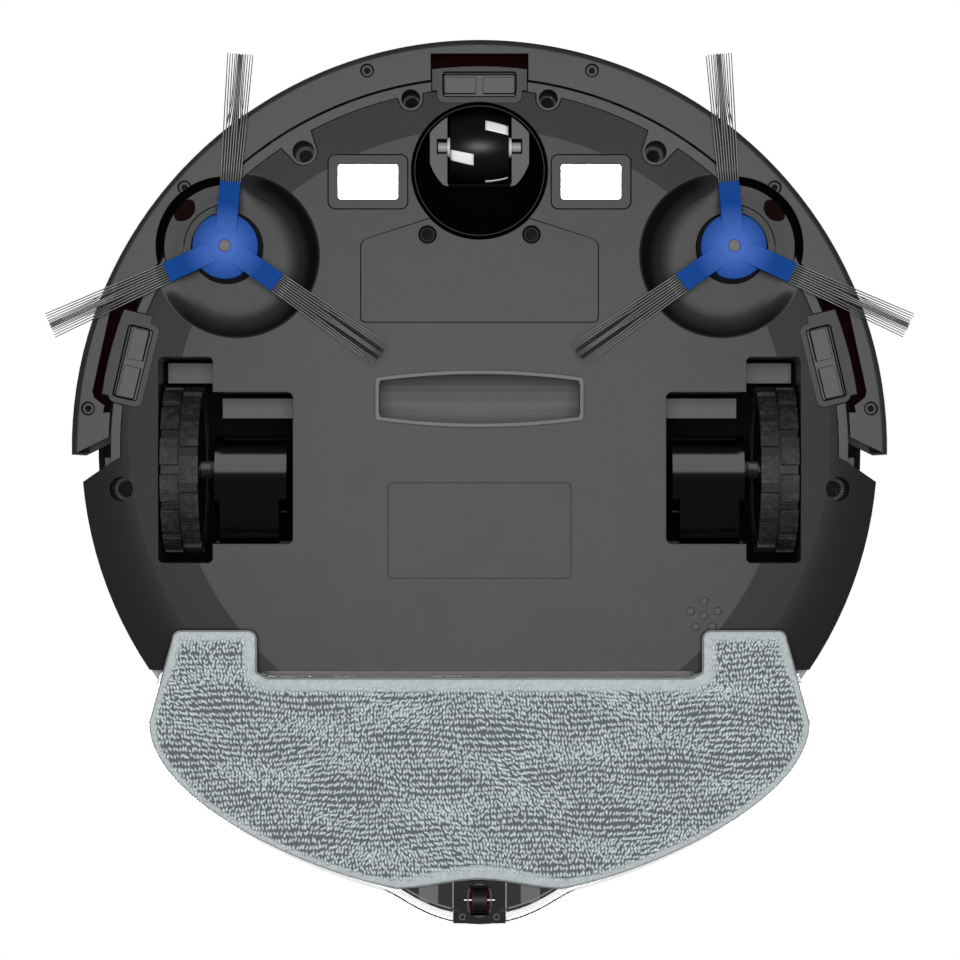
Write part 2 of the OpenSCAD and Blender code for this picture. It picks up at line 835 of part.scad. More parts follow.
module bin_lid() {
    half = bin_w / 2;
    color([0.12, 0.12, 0.13]) at_body() {
        intersection() {
            block(-half, half, bin_front, 170, bin_z + bin_h - lid_t, bin_z + bin_h);
            cylinder(h = 80, r = body_r, $fn = 180);
        }
        translate([0, 0, bin_z + bin_h - lid_t - 2]) intersection() {
            difference() {
                block(-half + bin_wall + seat, half - bin_wall - seat,
                    bin_front + bin_wall + seat, 170, 0, 2);
                block(-half + bin_wall + 2, half - bin_wall - 2, bin_front + bin_wall + 2,
                    body_r - 18, -1, 3);
            }
            cylinder(h = 80, r = body_r - 14 - seat, $fn = 180, center = true);
        }
    }
}

module bin_filter() {
    folds = 20;
    depth = 5.6;
    paper = 2.4;
    frame_w = 2;
    bite = 0.3;
    x = -bin_w / 2 + bin_wall + seat;
    y = 61 + frame_w - bite;
    pitch = (38 - 2 * frame_w + 2 * bite) / folds;
    color([0.85, 0.85, 0.82]) at_body() {
        difference() {
            block(x, x + 9, 61, 99, fan_z + 4, fan_z + 20);
            block(x - 1, x + 10, 61 + frame_w, 99 - frame_w, fan_z + 4 + frame_w, fan_z + 20 - frame_w);
        }
        translate([x + 0.5, y, fan_z + 4 + frame_w - bite]) linear_extrude(height = 16 - 2 * frame_w + 2 * bite)
            polygon(concat([for (i = [0:folds]) [depth * (i % 2), i * pitch]],
                [for (i = [folds:-1:0]) [depth * (i % 2) + paper, i * pitch]]));
    }
}

module fan_housing() {
    color([0.1, 0.1, 0.11]) at_body() {
        translate([fan_at[0], fan_at[1], fan_z - 2.5]) difference() {
            union() {
                cylinder(h = fan_h + 4.5, r = fan_r + 2);
                translate([0, -18, 6]) cube([fan_r + 2.6, 36, 16]);
            }
            translate([0, 0, 2.5]) cylinder(h = fan_h, r = fan_r);
            translate([0, -16.4, 7.6]) cube([fan_r + 4, 32.8, 12.8]);
            translate([0, 0, fan_h]) cylinder(h = 8, r = 12);
        }
        disc(fan_at[0], fan_at[1], 3, fan_z - 1, fan_z + 2);
    }
}

module fan_rotor() {
    blades = 9;
    color([0.75, 0.75, 0.78]) at_body() translate([fan_at[0], fan_at[1], fan_z + 2.3]) {
        cylinder(h = 2, r = fan_r - 2);
        cylinder(h = 13, r = 6);
        for (i = [0:blades - 1]) rotate(360 * i / blades) translate([5, 0, 2])
            linear_extrude(height = 9) difference() {
                translate([7.6, -9]) circle(11.6);
                translate([7.6, -9]) circle(10.4);
                translate([-10, -30]) square([40, 27]);
                translate([-16, -30]) square([14, 60]);
            }
    }
}

// ---------------------------------------------------------------- sensors

module cliff_window() {
    translate([0, 0, base_z + 0.5]) difference() {
        linear_extrude(height = base_wall + 1.4) rounded(cliff_w - 0.6, cliff_d - 0.6, 0.8);
        for (x = [-1, 1]) translate([x * 7.6, 0, -eps]) linear_extrude(height = 0.5)
            rounded(12.4, cliff_d - 2.2, 0.6);
    }
}

module cliff_windows() {
    color([0.38, 0.38, 0.39]) at_body() {
        translate([0, cliff_front_y, 0]) cliff_window();
        both_sides() side_window_place() cliff_window();
    }
}

module contact_frames() {
    color([0.35, 0.35, 0.36]) at_body() both_sides() translate([contact_at[0], contact_at[1], base_z])
        linear_extrude(height = base_wall + 1) difference() {
            rounded(contact_frame[0] - 0.6, contact_frame[1] - 0.6, 2.7);
            rounded(contact_size[0], contact_size[1], 1.2);
        }
}

module charge_contacts() {
    color([0.9, 0.9, 0.9]) at_body() both_sides() translate([contact_at[0], contact_at[1], base_z + 0.6])
        linear_extrude(height = 2.4) rounded(contact_size[0] - 0.3, contact_size[1] - 0.3, 1.1);
}

module speaker() {
    color([0.2, 0.2, 0.2]) at_body() translate([speaker_at[0], speaker_at[1], floor_z + slip]) {
        difference() {
            cylinder(h = 4, r = 13);
            translate([0, 0, -1]) cylinder(h = 4, r = 11);
        }
        cylinder(h = 7, r = 8);
    }
}

switch_a = 164;
switch_z = 36.5;

module power_switch() {
    color([0.12, 0.12, 0.12]) at_body() rotate(switch_a)
        translate([body_r - 4.2, 0, switch_z]) rotate([90, 0, 90])
            linear_extrude(height = 4) rounded(16, 12, 1.4);
}

// --------------------------------------------------------------- side brushes

module brush_gearbox(side) {
    color([0.75, 0.75, 0.73]) at_body() one_side(side) {
        top = 41;
        difference() {
            disc(brush_x, -brush_y, 14.3, bowl_z + land_h, top);
            disc(brush_x, -brush_y, shaft_r + 1, bowl_z - 1, bowl_z + 8);
        }
        translate([brush_x, -brush_y, rim_z + slip]) rotate(135)
            translate([0, -12, 0]) cube([34, 24, top - rim_z - slip]);
        translate([brush_x, -brush_y, top]) rotate(135) translate([24, 0, 0])
            cylinder(h = 12, r = 10);
        disc(brush_x, -brush_y, shaft_r, hub_z + 4, bowl_z + 8);
    }
}
module brush_gearbox_left() { brush_gearbox("left"); }
module brush_gearbox_right() { brush_gearbox("right"); }

arm_angles = [-95, 145, 25];
arm_w = 8.2;
arm_z = 7;
arm_tip_t = 2.2;
arm_t = 2.6;

// One moulded piece: a domed hub with a flat on its rim and three arms
module side_brush(side) {
    dome_r = 26;
    hub_top = bowl_z - 0.6;
    color([0.2, 0.34, 0.65]) at_body() one_side(side) translate([brush_x, -brush_y, 0])
        difference() {
            union() {
                intersection() {
                    translate([0, 0, hub_z]) cylinder(h = hub_top - hub_z, r = hub_r);
                    translate([0, 0, hub_z + dome_r]) sphere(dome_r, $fn = 96);
                    rotate(140) translate([-hub_r - 1, -40, 0]) cube([2 * hub_r, 80, 40]);
                }
                translate([0, 0, hub_z + 4.2]) cylinder(h = hub_top - hub_z - 4.2, r = hub_r - 2.4);
                for (a = arm_angles) rotate(a) {
                    translate([6, -arm_w / 2, 0]) rotate([90, 0, 0]) mirror([0, 0, 1])
                        linear_extrude(height = arm_w)
                            polygon([[0, hub_z + 0.6], [8, arm_z - 0.2], [arm_reach - 6, arm_z],
                                [arm_reach - 6, arm_z + arm_tip_t],
                                [arm_reach - 12, arm_z + arm_tip_t + 0.3],
                                [8, arm_z + arm_t + 3.4], [0, arm_z + arm_t + 3.4]]);
                }
            }
            translate([0, 0, hub_z + 3.4]) cylinder(h = 30, r = shaft_r + run);
            translate([0, 0, hub_z - 1]) cylinder(h = 6, r = 2.4);
        }
}
module side_brush_left() { side_brush("left"); }
module side_brush_right() { side_brush("right"); }

bristle_in_w = 7.6;
bristle_out_w = 10.4;
bristle_t = 1.4;
bristle_end_z = 1.2;

module bristle_set(side) {
    root = arm_reach;
    tip = bristle_reach;
    a = bristle_in_w / 2;
    b = bristle_out_w / 2;
    z0 = arm_z + 0.5;
    z1 = bristle_end_z;
    t = bristle_t;
    color([0.45, 0.45, 0.46]) at_body() one_side(side) translate([brush_x, -brush_y, 0])
        for (angle = arm_angles) rotate(angle) polyhedron(
            [[root, -a, z0], [root, a, z0], [tip, b, z1], [tip, -b, z1],
             [root, -a, z0 + t], [root, a, z0 + t], [tip, b, z1 + t], [tip, -b, z1 + t]],
            [[0, 3, 2, 1], [4, 5, 6, 7], [0, 1, 5, 4], [1, 2, 6, 5], [2, 3, 7, 6],
             [3, 0, 4, 7]]);
}
module bristles_left() { bristle_set("left"); }
module bristles_right() { bristle_set("right"); }

module brush_screw(side) {
    color([0.4, 0.38, 0.37]) at_body() one_side(side)
        translate([brush_x, -brush_y, hub_z + 0.3]) cylinder(h = 3.1, r = 2.3);
}
module brush_screw_left() { brush_screw("left"); }
module brush_screw_right() { brush_screw("right"); }

// ------------------------------------------------------------------ caster

module caster_cup() {
    color([0.05, 0.05, 0.05]) at_body() translate([0, -caster_y, 0]) difference() {
        union() {
            rotate_extrude() polygon([[0, base_z + 0.8], [fork_r + 1.5, base_z + 0.8],
                [caster_cup_r - seat, base_z + 5], [caster_cup_r - seat, caster_cup_top],
                [0, caster_cup_top]]);
            translate([0, 0, caster_cup_top]) cylinder(h = caster_stem_top - caster_cup_top + 1.5,
                r = caster_stem_r + 3);
        }
        translate([0, 0, base_z - 1]) cylinder(h = caster_cup_top - 2 - base_z + 1, r = fork_r + 1);
        translate([0, 0, base_z - 1]) cylinder(h = caster_stem_top - base_z + 1 + 0.5,
            r = caster_stem_r + run);
    }
}

module caster_fork() {
    cheek_x = 19.7;
    color([0.12, 0.12, 0.12]) at_body() translate([0, -caster_y, 0]) difference() {
        union() {
            rotate_extrude() polygon([[0, fork_face_z + 0.6], [6.4, fork_face_z + 0.6],
                [fork_r, fork_top_z - 2.5], [fork_r, fork_top_z], [0, fork_top_z]]);
            intersection() {
                translate([0, 0, fork_face_z]) cylinder(h = fork_top_z - fork_face_z, r = fork_r);
                translate([0, -caster_trail + 0.6, fork_face_z])
                    linear_extrude(height = fork_top_z - fork_face_z) intersection() {
                        rounded(2 * cheek_x, 31, 9);
                        circle(20.6);
                    }
            }
            cylinder(h = caster_stem_top, r = caster_stem_r);
        }
        translate([0, 0, -1]) cylinder(h = fork_top_z - 1, r = caster_stem_r + 0.5);
        intersection() {
            translate([-slot_w / 2, -60, -1]) cube([slot_w, 90, 40]);
            rod_x(-30, 30, -caster_trail, caster_r, caster_r + 0.9);
        }
        translate([-slot_w / 2, -caster_trail - caster_r - 0.9, -1])
            cube([slot_w, 2 * caster_r + 1.8, caster_r + 1]);
        rod_x(-caster_axle_half - 0.2, caster_axle_half + 0.2, -caster_trail, caster_r,
            caster_axle_r + run);
        translate([-caster_axle_half - 0.5, -caster_trail - 3, 0])
            cube([2 * caster_axle_half + 1, 6, caster_r - 2.4]);
        translate([-caster_axle_half - 0.2, -caster_trail - caster_axle_r - run, 0])
            cube([2 * caster_axle_half + 0.4, 2 * (caster_axle_r + run), caster_r]);
    }
}

module caster_axle() {
    color([0.8, 0.8, 0.8]) at_body()
        rod_x(-caster_axle_half, caster_axle_half, caster_axis[1], caster_axis[2], caster_axle_r);
}

module caster_washers() {
    color([0.93, 0.93, 0.93]) at_body() both_sides() difference() {
        rod_x(caster_w / 2 + run, caster_w / 2 + run + washer_t, caster_axis[1], caster_axis[2],
            washer_r);
        rod_x(0, 30, caster_axis[1], caster_axis[2], caster_axle_r + run);
    }
}

module caster_wheel() {
    crown_r = 35;
    color([0.04, 0.04, 0.04]) at_body() translate([0, caster_axis[1], caster_axis[2]])
        rotate([0, 90, 0]) rotate_extrude() difference() {
            intersection() {
                translate([0, -caster_w / 2]) square([caster_r, caster_w]);
                translate([caster_r - crown_r, 0]) circle(crown_r, $fn = 180);
            }
            translate([-1, -caster_w]) square([1 + caster_axle_r + run, 2 * caster_w]);
        }
}

// ----------------------------------------------------------------- bumper

module flange_cuts() {
    both_sides() {
        translate([brush_x, -brush_y]) circle(flange_bite_r);
        polygon([[120, -14], [149.8, -14], [149.2, -16.7], [151.4, -18.4], [153.4, -20],
            [154, -22.4], [146.8, -55.5], [144.6, -58.2], [139, -61.6], [120, -50]]);
    }
    translate([0, -148]) square([notch_w, 17.6], center = true);
}

module bumper_section() {
    corner = 2.4;
    in_r = bumper_r - flange_w;
    union() {
        translate([bumper_r - bumper_wall, base_z + corner])
            square([bumper_wall, bumper_top - base_z - corner - 1]);
        translate([in_r, base_z]) square([flange_w - corner, bumper_wall]);
        intersection() {
            translate([bumper_r - corner, base_z]) square([corner, corner]);
            translate([bumper_r - corner, base_z + corner]) difference() {
                circle(corner);
                circle(corner - bumper_wall);
            }
        }
        translate([bumper_r - bumper_shelf, bumper_top - bumper_wall])
            square([bumper_shelf, bumper_wall]);
    }
}

window_z = [bumper_top - 28.5, bumper_top - 8.5];
window_a = 84;

module bumper_shell() {
    color([0.38, 0.38, 0.39]) at_body() difference() {
        rotate_extrude($fn = 180) bumper_section();
        linear_extrude(height = 100) difference() {
            square(400, center = true);
            bumper_ends();
        }
        translate([0, 0, base_z - 1]) linear_extrude(height = bumper_wall + 2) flange_cuts();
        rotate(270 - window_a) rotate_extrude(angle = 2 * window_a, $fn = 180)
            translate([bumper_r - bumper_wall - 1, window_z[0]])
                square([bumper_wall + 2, window_z[1] - window_z[0]]);
        both_sides() for (p = bumper_screw_at) {
            disc(p[0], p[1], bumper_screw_r, base_z - 1, base_z + 1.2);
            disc(p[0], p[1], 1.2, base_z - 1, base_z + 4);
        }
    }
}

module bumper_ends() {
    polygon([[-200, -200], [200, -200], [200, 2.8], [162, 2.8], [149.5, -3.2], [100, -27],
        [-100, -27], [-149.5, -3.2], [-162, 2.8], [-200, 2.8]]);
}

module bumper_window() {
    color([0.16, 0.01, 0.01]) at_body() rotate(270 - window_a + 0.1)
        rotate_extrude(angle = 2 * window_a - 0.2, $fn = 180) {
            translate([bumper_r - 1 - bumper_wall, window_z[0] + 0.1])
                square([bumper_wall + 0.9, window_z[1] - window_z[0] - 0.2]);
            translate([bumper_r - bumper_shelf, window_z[0] - 2.2])
                square([bumper_shelf - bumper_wall - 0.2, 1.8]);
            translate([bumper_r - bumper_wall - 2, window_z[0] - 2.2])
                square([1.8, window_z[1] - window_z[0] + 4]);
        }
}

module bumper_screws() {
    color([0.2, 0.2, 0.2]) at_body() both_sides() for (p = bumper_screw_at)
        difference() {
            disc(p[0], p[1], 1.15, base_z + 0.5, base_z + 5);
            disc(p[0], p[1], 0.5, base_z, base_z + 1.2);
        }
}

module bumper_stops() {
    stop_z = 22;
    color([0.1, 0.1, 0.1]) at_body() both_sides() for (a = [20, 38])
        rotate(270 + a)
            rod_x(inner_r, bumper_r - bumper_wall - bumper_travel - slip, 0, stop_z, 3);
}

module bumper_switches() {
    color([0.15, 0.15, 0.15]) at_body() both_sides() rotate(270 + 32) {
        block(inner_r + 0.1, inner_r + 6, -6.5, 6.5, 38, 46);
        block(inner_r + 6, inner_r + 8.6, -1.2, 1.2, 40.5, 43.5);
    }
}

// ------------------------------------------------------------- drive wheels

module wheel_well(side) {
    color([0.3, 0.3, 0.31]) at_body() one_side(side) difference() {
        union() {
            translate([0, 0, well_low]) linear_extrude(height = well_top - well_low)
                well_outline(well_wall);
            block(bay_in_x - well_wall, bay_in_x + ear_t, bay_back, pivot_y + boss_r + 1,
                pivot_z - 9, pivot_z + 9);
        }
        difference() {
            translate([0, 0, floor_z - 1]) linear_extrude(height = well_top - well_wall - floor_z + 1)
                well_outline();
            block(bay_in_x - 1, well_out_x - 1.4, well_front + 1.5, wheel_y - tyre_r - 1.6,
                shelf_z, 80);
            block(bay_in_x + 1.4, well_in_x - 1.8, bay_front + 1.8, bay_front + 10, shelf_z, 80);
            block(bay_in_x - 1, well_in_x - 0.2, -40, 60, 66, 80);
        }
        block(bay_in_x + ear_t, well_in_x - well_wall, pivot_y - boss_r - 2, pivot_y + boss_r + 3,
            floor_z + slip + 6, 60);
        rod_x(bay_in_x, well_in_x + 1, pivot_y, pivot_z, pin_r + 0.03);
    }
}
module wheel_well_left() { wheel_well("left"); }
module wheel_well_right() { wheel_well("right"); }

module wheel_arm(side) {
    x0 = bay_in_x + 6;
    x1 = motor_out_x - 2;
    color([0.04, 0.04, 0.045]) at_body() one_side(side) difference() {
        union() {
            rod_x(motor_in_x, motor_out_x, motor_y, motor_z, motor_r);
            translate([x0, 0, 0]) rotate([90, 0, 90]) linear_extrude(height = x1 - x0)
                polygon([[motor_y, motor_z + motor_r - 0.6], [pivot_y + 1.4, pivot_z + boss_r - 0.2],
                    [pivot_y, pivot_z - boss_r + 0.1], [motor_y + 2, motor_z - motor_r + 0.6]]);
            rod_x(x0, x1, pivot_y, pivot_z, boss_r);
            disc(spring_x, spring_y, spring_r + 1.4, motor_z + 8, motor_z + motor_r + 0.8);
            rod_x(motor_out_x - 4, tyre_outer_x - 1.6, wheel_y, tyre_r, stub_r);
        }
        rod_x(x0 - 1, x1 + 1, pivot_y, pivot_z, pin_r + run);
    }
}
module wheel_arm_left() { wheel_arm("left"); }
module wheel_arm_right() { wheel_arm("right"); }

module pivot_pins() {
    color([0.75, 0.75, 0.75]) at_body() both_sides()
        rod_x(bay_in_x + 0.2, well_in_x - 0.2, pivot_y, pivot_z, pin_r);
}

module wheel_spring(side) {
    low = motor_z + motor_r + 1.1;
    color([0.7, 0.7, 0.7]) at_body() one_side(side)
        translate([spring_x, spring_y, low]) coil(spring_r, spring_wire, 65.7 - low, 6);
}
module wheel_spring_left() { wheel_spring("left"); }
module wheel_spring_right() { wheel_spring("right"); }

module wheel_rim(side) {
    half = tyre_w / 2;
    color([0.1, 0.1, 0.1]) at_body() one_side(side) translate([wheel_x, wheel_y, tyre_r])
        rotate([0, 90, 0]) difference() {
            translate([0, 0, -half + 1]) cylinder(h = tyre_w - 2, r = rim_r);
            translate([0, 0, -half]) cylinder(h = tyre_w * 2, r = stub_r + run);
            for (z = [-half + 0.9, 1.4]) translate([0, 0, z]) difference() {
                cylinder(h = half - 2.2, r = rim_r - 2.4);
                cylinder(h = 30, r = 8);
            }
            for (i = [0:4]) rotate(72 * i) translate([16, 0, -half]) cylinder(h = 30, r = 4);
        }
}
module wheel_rim_left() { wheel_rim("left"); }
module wheel_rim_right() { wheel_rim("right"); }

// One half of the tread: blocks round the root circle
module tread_band() {
    pitch = 360 / tread_count;
    block_w = 2 * PI * tyre_r / tread_count * 0.72;
    intersection() {
        difference() {
            circle(tyre_r, $fn = 120);
            circle(tyre_r - tread_depth - 0.8, $fn = 120);
        }
        for (i = [0:tread_count - 1]) rotate(pitch * i)
            translate([0, -block_w / 2]) square([tyre_r + 2, block_w]);
    }
}
module tyre(side) {
    band = (tyre_w - ring_gap) / 2;
    core_w = tyre_w - 0.6;
    color([0.06, 0.06, 0.06]) at_body() one_side(side) translate([wheel_x, wheel_y, tyre_r])
        rotate([0, 90, 0]) {
            difference() {
                translate([0, 0, -core_w / 2]) cylinder(h = core_w, r = tyre_r - tread_depth);
                translate([0, 0, -tyre_w]) cylinder(h = 2 * tyre_w, r = rim_r);
            }
            translate([0, 0, -tyre_w / 2]) linear_extrude(height = band) tread_band();
            translate([0, 0, ring_gap / 2]) linear_extrude(height = band)
                rotate(180 / tread_count) tread_band();
        }
}
module tyre_left() { tyre("left"); }
module tyre_right() { tyre("right"); }

// --------------------------------------------------------------------- mop

module roller_space(grow) {
    block(-roller_box_w / 2 - grow, roller_box_w / 2 + grow, roller_box[0] - grow,
        roller_box[1] + grow, 0, 11.5 + grow);
}

module water_tank() {
    cap_at = [60, 128];
    color([0.75, 0.78, 0.8, 0.5]) at_body() difference() {
        intersection() {
            translate([0, 0, tank_z]) linear_extrude(height = tank_h) mop_outline();
            block(-200, 200, mop_front, 200, 0, 40);
        }
        translate([0, tank_wall, tank_z + tank_wall]) intersection() {
            linear_extrude(height = tank_h - 2 * tank_wall) scale_outline();
            block(-200, 200, mop_front, 168, -1, 40);
        }
        roller_space(0.2);
        disc(cap_at[0], cap_at[1], 7, tank_top - tank_wall - 1, tank_top + 1);
    }
}

module scale_outline() {
    translate([0, 20]) scale(0.97) translate([0, -20]) mop_outline();
}

module tank_cap() {
    color([0.2, 0.2, 0.2]) at_body() translate([60, 128, 0]) {
        translate([0, 0, tank_top - tank_wall - 2]) cylinder(h = tank_wall + 2, r = 6.8);
    }
}

// The plate's end behind the cloth, inside the tank's clear rim
module tail_apron() {
    reach = tail_reach - 4.2;
    dip = [37, reach - 13.4];
    half = concat(bezier([0, reach], [20, reach], [29, reach - 10], dip, 10), [[dip[0], 150]]);
    polygon(concat(half, flip_x(half)));
}

module mop_plate() {
    color([0.12, 0.12, 0.12]) at_body() difference() {
        translate([0, 0, plate_z]) linear_extrude(height = plate_t) {
            cloth_outline();
            tail_apron();
        }
        roller_space(0.2);
    }
}

module mop_cloth() {
    color([0.51, 0.55, 0.56]) at_body() difference() {
        translate([0, 0, cloth_z]) linear_extrude(height = cloth_t) cloth_outline();
        roller_space(0.6);
    }
}

module roller_housing() {
    x = roller_box_w / 2;
    color([0.3, 0.3, 0.32]) at_body() difference() {
        block(-x, x, roller_box[0], roller_box[1], 2.6, 11.5);
        block(-roller_w / 2 - 0.6, roller_w / 2 + 0.6, roller_y - roller_r - 1,
            roller_y + roller_r + 1, 0, 10.4);
        rod_x(-roller_half - 0.1, roller_half + 0.1, roller_y, roller_r, roller_axle_r + run);
        block(-roller_half - 0.1, roller_half + 0.1, roller_y - roller_axle_r - run,
            roller_y + roller_axle_r + run, 0, roller_r);
    }
}

module roller_axle() {
    color([0.8, 0.8, 0.8]) at_body() rod_x(-roller_half, roller_half, roller_y, roller_r, roller_axle_r);
}

module rear_roller() {
    color([0.06, 0.06, 0.06]) at_body() difference() {
        rod_x(-roller_w / 2, roller_w / 2, roller_y, roller_r, roller_r);
        rod_x(-roller_w, roller_w, roller_y, roller_r, roller_axle_r + run);
    }
}

module base_screws() {
    color([0.5, 0.5, 0.5]) at_body() both_sides() {
        for (w = front_wells) screw(w[0], w[1], well_depth_z - 3.9);
        screw(side_well[0], side_well[1], well_depth_z - 3.9, side_screw_r);
    }
}

module battery_screws() {
    color([0.5, 0.5, 0.5]) at_body() both_sides()
        screw(battery_screw_at[0], battery_screw_at[1], base_z + 0.2, 2.5, 1.2, 6);
}

base_shell();
body_ring();
top_cover();
top_inlay();
light_ring();
start_button();
battery_cover();
battery_pack();
main_board();
mouth_lip();
suction_duct();
cliff_windows();
charge_contacts();
contact_frames();
brush_gearbox_left();
brush_gearbox_right();
caster_cup();
caster_fork();
caster_axle();
caster_washers();
caster_wheel();
base_screws();
battery_screws();
bumper_shell();
bumper_window();
bumper_screws();
bumper_stops();
bumper_switches();
speaker();
power_switch();
fan_housing();
fan_rotor();
side_brush_left();
side_brush_right();
bristles_left();
bristles_right();
brush_screw_left();
brush_screw_right();
wheel_well_left();
wheel_well_right();
wheel_arm_left();
wheel_arm_right();
pivot_pins();
wheel_spring_left();
wheel_spring_right();
wheel_rim_left();
wheel_rim_right();
tyre_left();
tyre_right();
dust_bin();
bin_lid();
bin_latch();
bin_filter();
water_tank();
tank_cap();
mop_plate();
mop_cloth();
roller_housing();
roller_axle();
rear_roller();
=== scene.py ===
import json
import math

import bmesh
import bpy
import numpy as np
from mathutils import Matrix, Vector
from mathutils.bvhtree import BVHTree


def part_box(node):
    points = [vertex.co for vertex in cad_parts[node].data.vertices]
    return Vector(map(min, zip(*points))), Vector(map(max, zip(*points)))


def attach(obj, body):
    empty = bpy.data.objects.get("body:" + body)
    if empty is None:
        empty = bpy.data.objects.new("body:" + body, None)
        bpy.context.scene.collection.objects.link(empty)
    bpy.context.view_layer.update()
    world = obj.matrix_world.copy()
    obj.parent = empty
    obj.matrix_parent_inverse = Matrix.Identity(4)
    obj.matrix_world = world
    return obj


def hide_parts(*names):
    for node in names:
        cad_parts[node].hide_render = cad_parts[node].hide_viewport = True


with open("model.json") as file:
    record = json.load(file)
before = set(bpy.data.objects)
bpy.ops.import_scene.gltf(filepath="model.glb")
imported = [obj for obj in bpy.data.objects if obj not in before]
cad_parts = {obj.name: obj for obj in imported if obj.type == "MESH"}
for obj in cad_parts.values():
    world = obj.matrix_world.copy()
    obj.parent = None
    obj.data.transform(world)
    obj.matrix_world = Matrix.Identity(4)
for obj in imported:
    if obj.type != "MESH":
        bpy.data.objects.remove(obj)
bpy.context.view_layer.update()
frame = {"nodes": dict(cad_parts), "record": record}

nodes_by_name = frame["nodes"]
record = frame["record"]
rng = np.random.default_rng(7)

MM, PER_METRE = 0.001, 1000
bumper_low, bumper_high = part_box("bumper_shell")
centre_y = bumper_low.y + bumper_high.x  # middle of the round body
HUB_X, HUB_Y = 101.2, -80.2  # axis of the left side brush; the right one mirrors it


def at(x, y, z):
    """A point given in millimetres from the middle of the round body."""
    return Vector((x * MM, centre_y + y * MM, z * MM))


# ------------------------------------------------------------------ shader helpers

def add(tree, kind, links=None, **settings):
    """Adds one shader node. links maps a socket to a value or to another node's output."""
    node = tree.nodes.new(kind)
    for name, value in settings.items():
        setattr(node, name, value)
    for socket, value in (links or {}).items():
        if isinstance(value, bpy.types.NodeSocket):
            tree.links.new(value, node.inputs[socket])
        else:
            node.inputs[socket].default_value = value
    return node


def maths(tree, operation, a, b=0.0, clamp=False):
    node = add(tree, "ShaderNodeMath", {0: a, 1: b}, operation=operation, use_clamp=clamp)
    return node.outputs[0]


def plus(tree, a, b, clamp=False):
    return maths(tree, "ADD", a, b, clamp)


def minus(tree, a, b):
    return maths(tree, "SUBTRACT", a, b)


def times(tree, a, b, clamp=False):
    return maths(tree, "MULTIPLY", a, b, clamp)


def mix_colour(tree, amount, a, b, blend="MIX"):
    node = add(tree, "ShaderNodeMix", {0: amount, 6: a, 7: b}, data_type="RGBA", blend_type=blend)
    return node.outputs[2]


def ramp(tree, value, low, high, to_low=0.0, to_high=1.0):
    node = add(tree, "ShaderNodeMapRange",
               {0: value, 1: low, 2: high, 3: to_low, 4: to_high})
    return node.outputs[0]


def falling(tree, value, low, high):
    """1 up to low, falling to 0 at high."""
    return ramp(tree, value, low, high, 1.0, 0.0)


def smooth_ramp(tree, value, low, high, to_high):
    """0 up to low, rising with soft ends to to_high at high."""
    node = add(tree, "ShaderNodeMapRange", {0: value, 1: low, 2: high, 4: to_high},
               interpolation_type="SMOOTHSTEP")
    return node.outputs[0]


def noise(tree, where, scale, detail=2.0, rough=0.5):
    node = add(tree, "ShaderNodeTexNoise",
               {"Vector": where, "Scale": scale, "Detail": detail, "Roughness": rough})
    return node.outputs[0]


def shader_group(name, inputs, outputs):
    """An empty node group with named sockets. inputs maps a name to (socket kind, value)."""
    tree = bpy.data.node_groups.new(name, "ShaderNodeTree")
    for label, (kind, value) in inputs.items():
        socket = tree.interface.new_socket(label, in_out="INPUT", socket_type="NodeSocket" + kind)
        socket.default_value = value
    for label, kind in outputs.items():
        tree.interface.new_socket(label, in_out="OUTPUT", socket_type="NodeSocket" + kind)
    return tree, tree.nodes.new("NodeGroupInput").outputs, tree.nodes.new("NodeGroupOutput").inputs


def object_space(tree):
    return tree.nodes.new("ShaderNodeTexCoord").outputs["Object"]


def places(tree):
    """X, Y and Z on the piece itself, in millimetres from the middle of the round body."""
    moved = add(tree, "ShaderNodeVectorMath",
                {0: object_space(tree), 1: (PER_METRE,) * 3, 2: (0, -PER_METRE * centre_y, 0)},
                operation="MULTIPLY_ADD")
    return add(tree, "ShaderNodeSeparateXYZ", {0: moved.outputs[0]}).outputs


def reach(tree, a, b):
    """The length of a step with sides a and b."""
    return maths(tree, "SQRT", plus(tree, times(tree, a, a), times(tree, b, b)))


def sideways(tree, here):
    """The distance from the middle line, the same on both sides."""
    return maths(tree, "ABSOLUTE", here["X"])


def from_pair(tree, here, x, y):
    """The distance from the point at x, y, or from its twin on the other side."""
    return reach(tree, minus(tree, sideways(tree, here), x), minus(tree, here["Y"], y))


def held_value(tree, name):
    """A value that a piece holds at each of its points, given by hold_values."""
    return add(tree, "ShaderNodeAttribute", attribute_name=name).outputs["Fac"]


def within(tree, value, low, high, soft=0.15):
    """1 between low and high, 0 outside, with soft ends."""
    return times(tree, ramp(tree, value, low - soft, low + soft),
                 falling(tree, value, high - soft, high + soft))


def place(tree, group, **values):
    """Puts a shared group in a material, with its own values."""
    node = tree.nodes.new("ShaderNodeGroup")
    node.node_tree = group
    for label, value in values.items():
        socket = node.inputs[label.replace("_", " ")]
        if isinstance(value, bpy.types.NodeSocket):
            tree.links.new(value, socket)
        else:
            socket.default_value = value
    return node.outputs


# ------------------------------------------------------------------ shared surface effects

def make_mould_grain():
    """The fine spark-eroded grain of a moulded cover: a height."""
    tree, given, out = shader_group(
        "mould grain", {"Grain Size": ("Float", 0.3)}, {"Height": "Float"})
    where = object_space(tree)
    scale = maths(tree, "DIVIDE", PER_METRE, given["Grain Size"])
    coarse = noise(tree, where, scale, 2.0, 0.6)
    cells = add(tree, "ShaderNodeTexVoronoi", {"Vector": where, "Scale": scale}).outputs["Distance"]
    tree.links.new(plus(tree, times(tree, coarse, 0.6), times(tree, cells, 0.4)), out["Height"])
    return tree


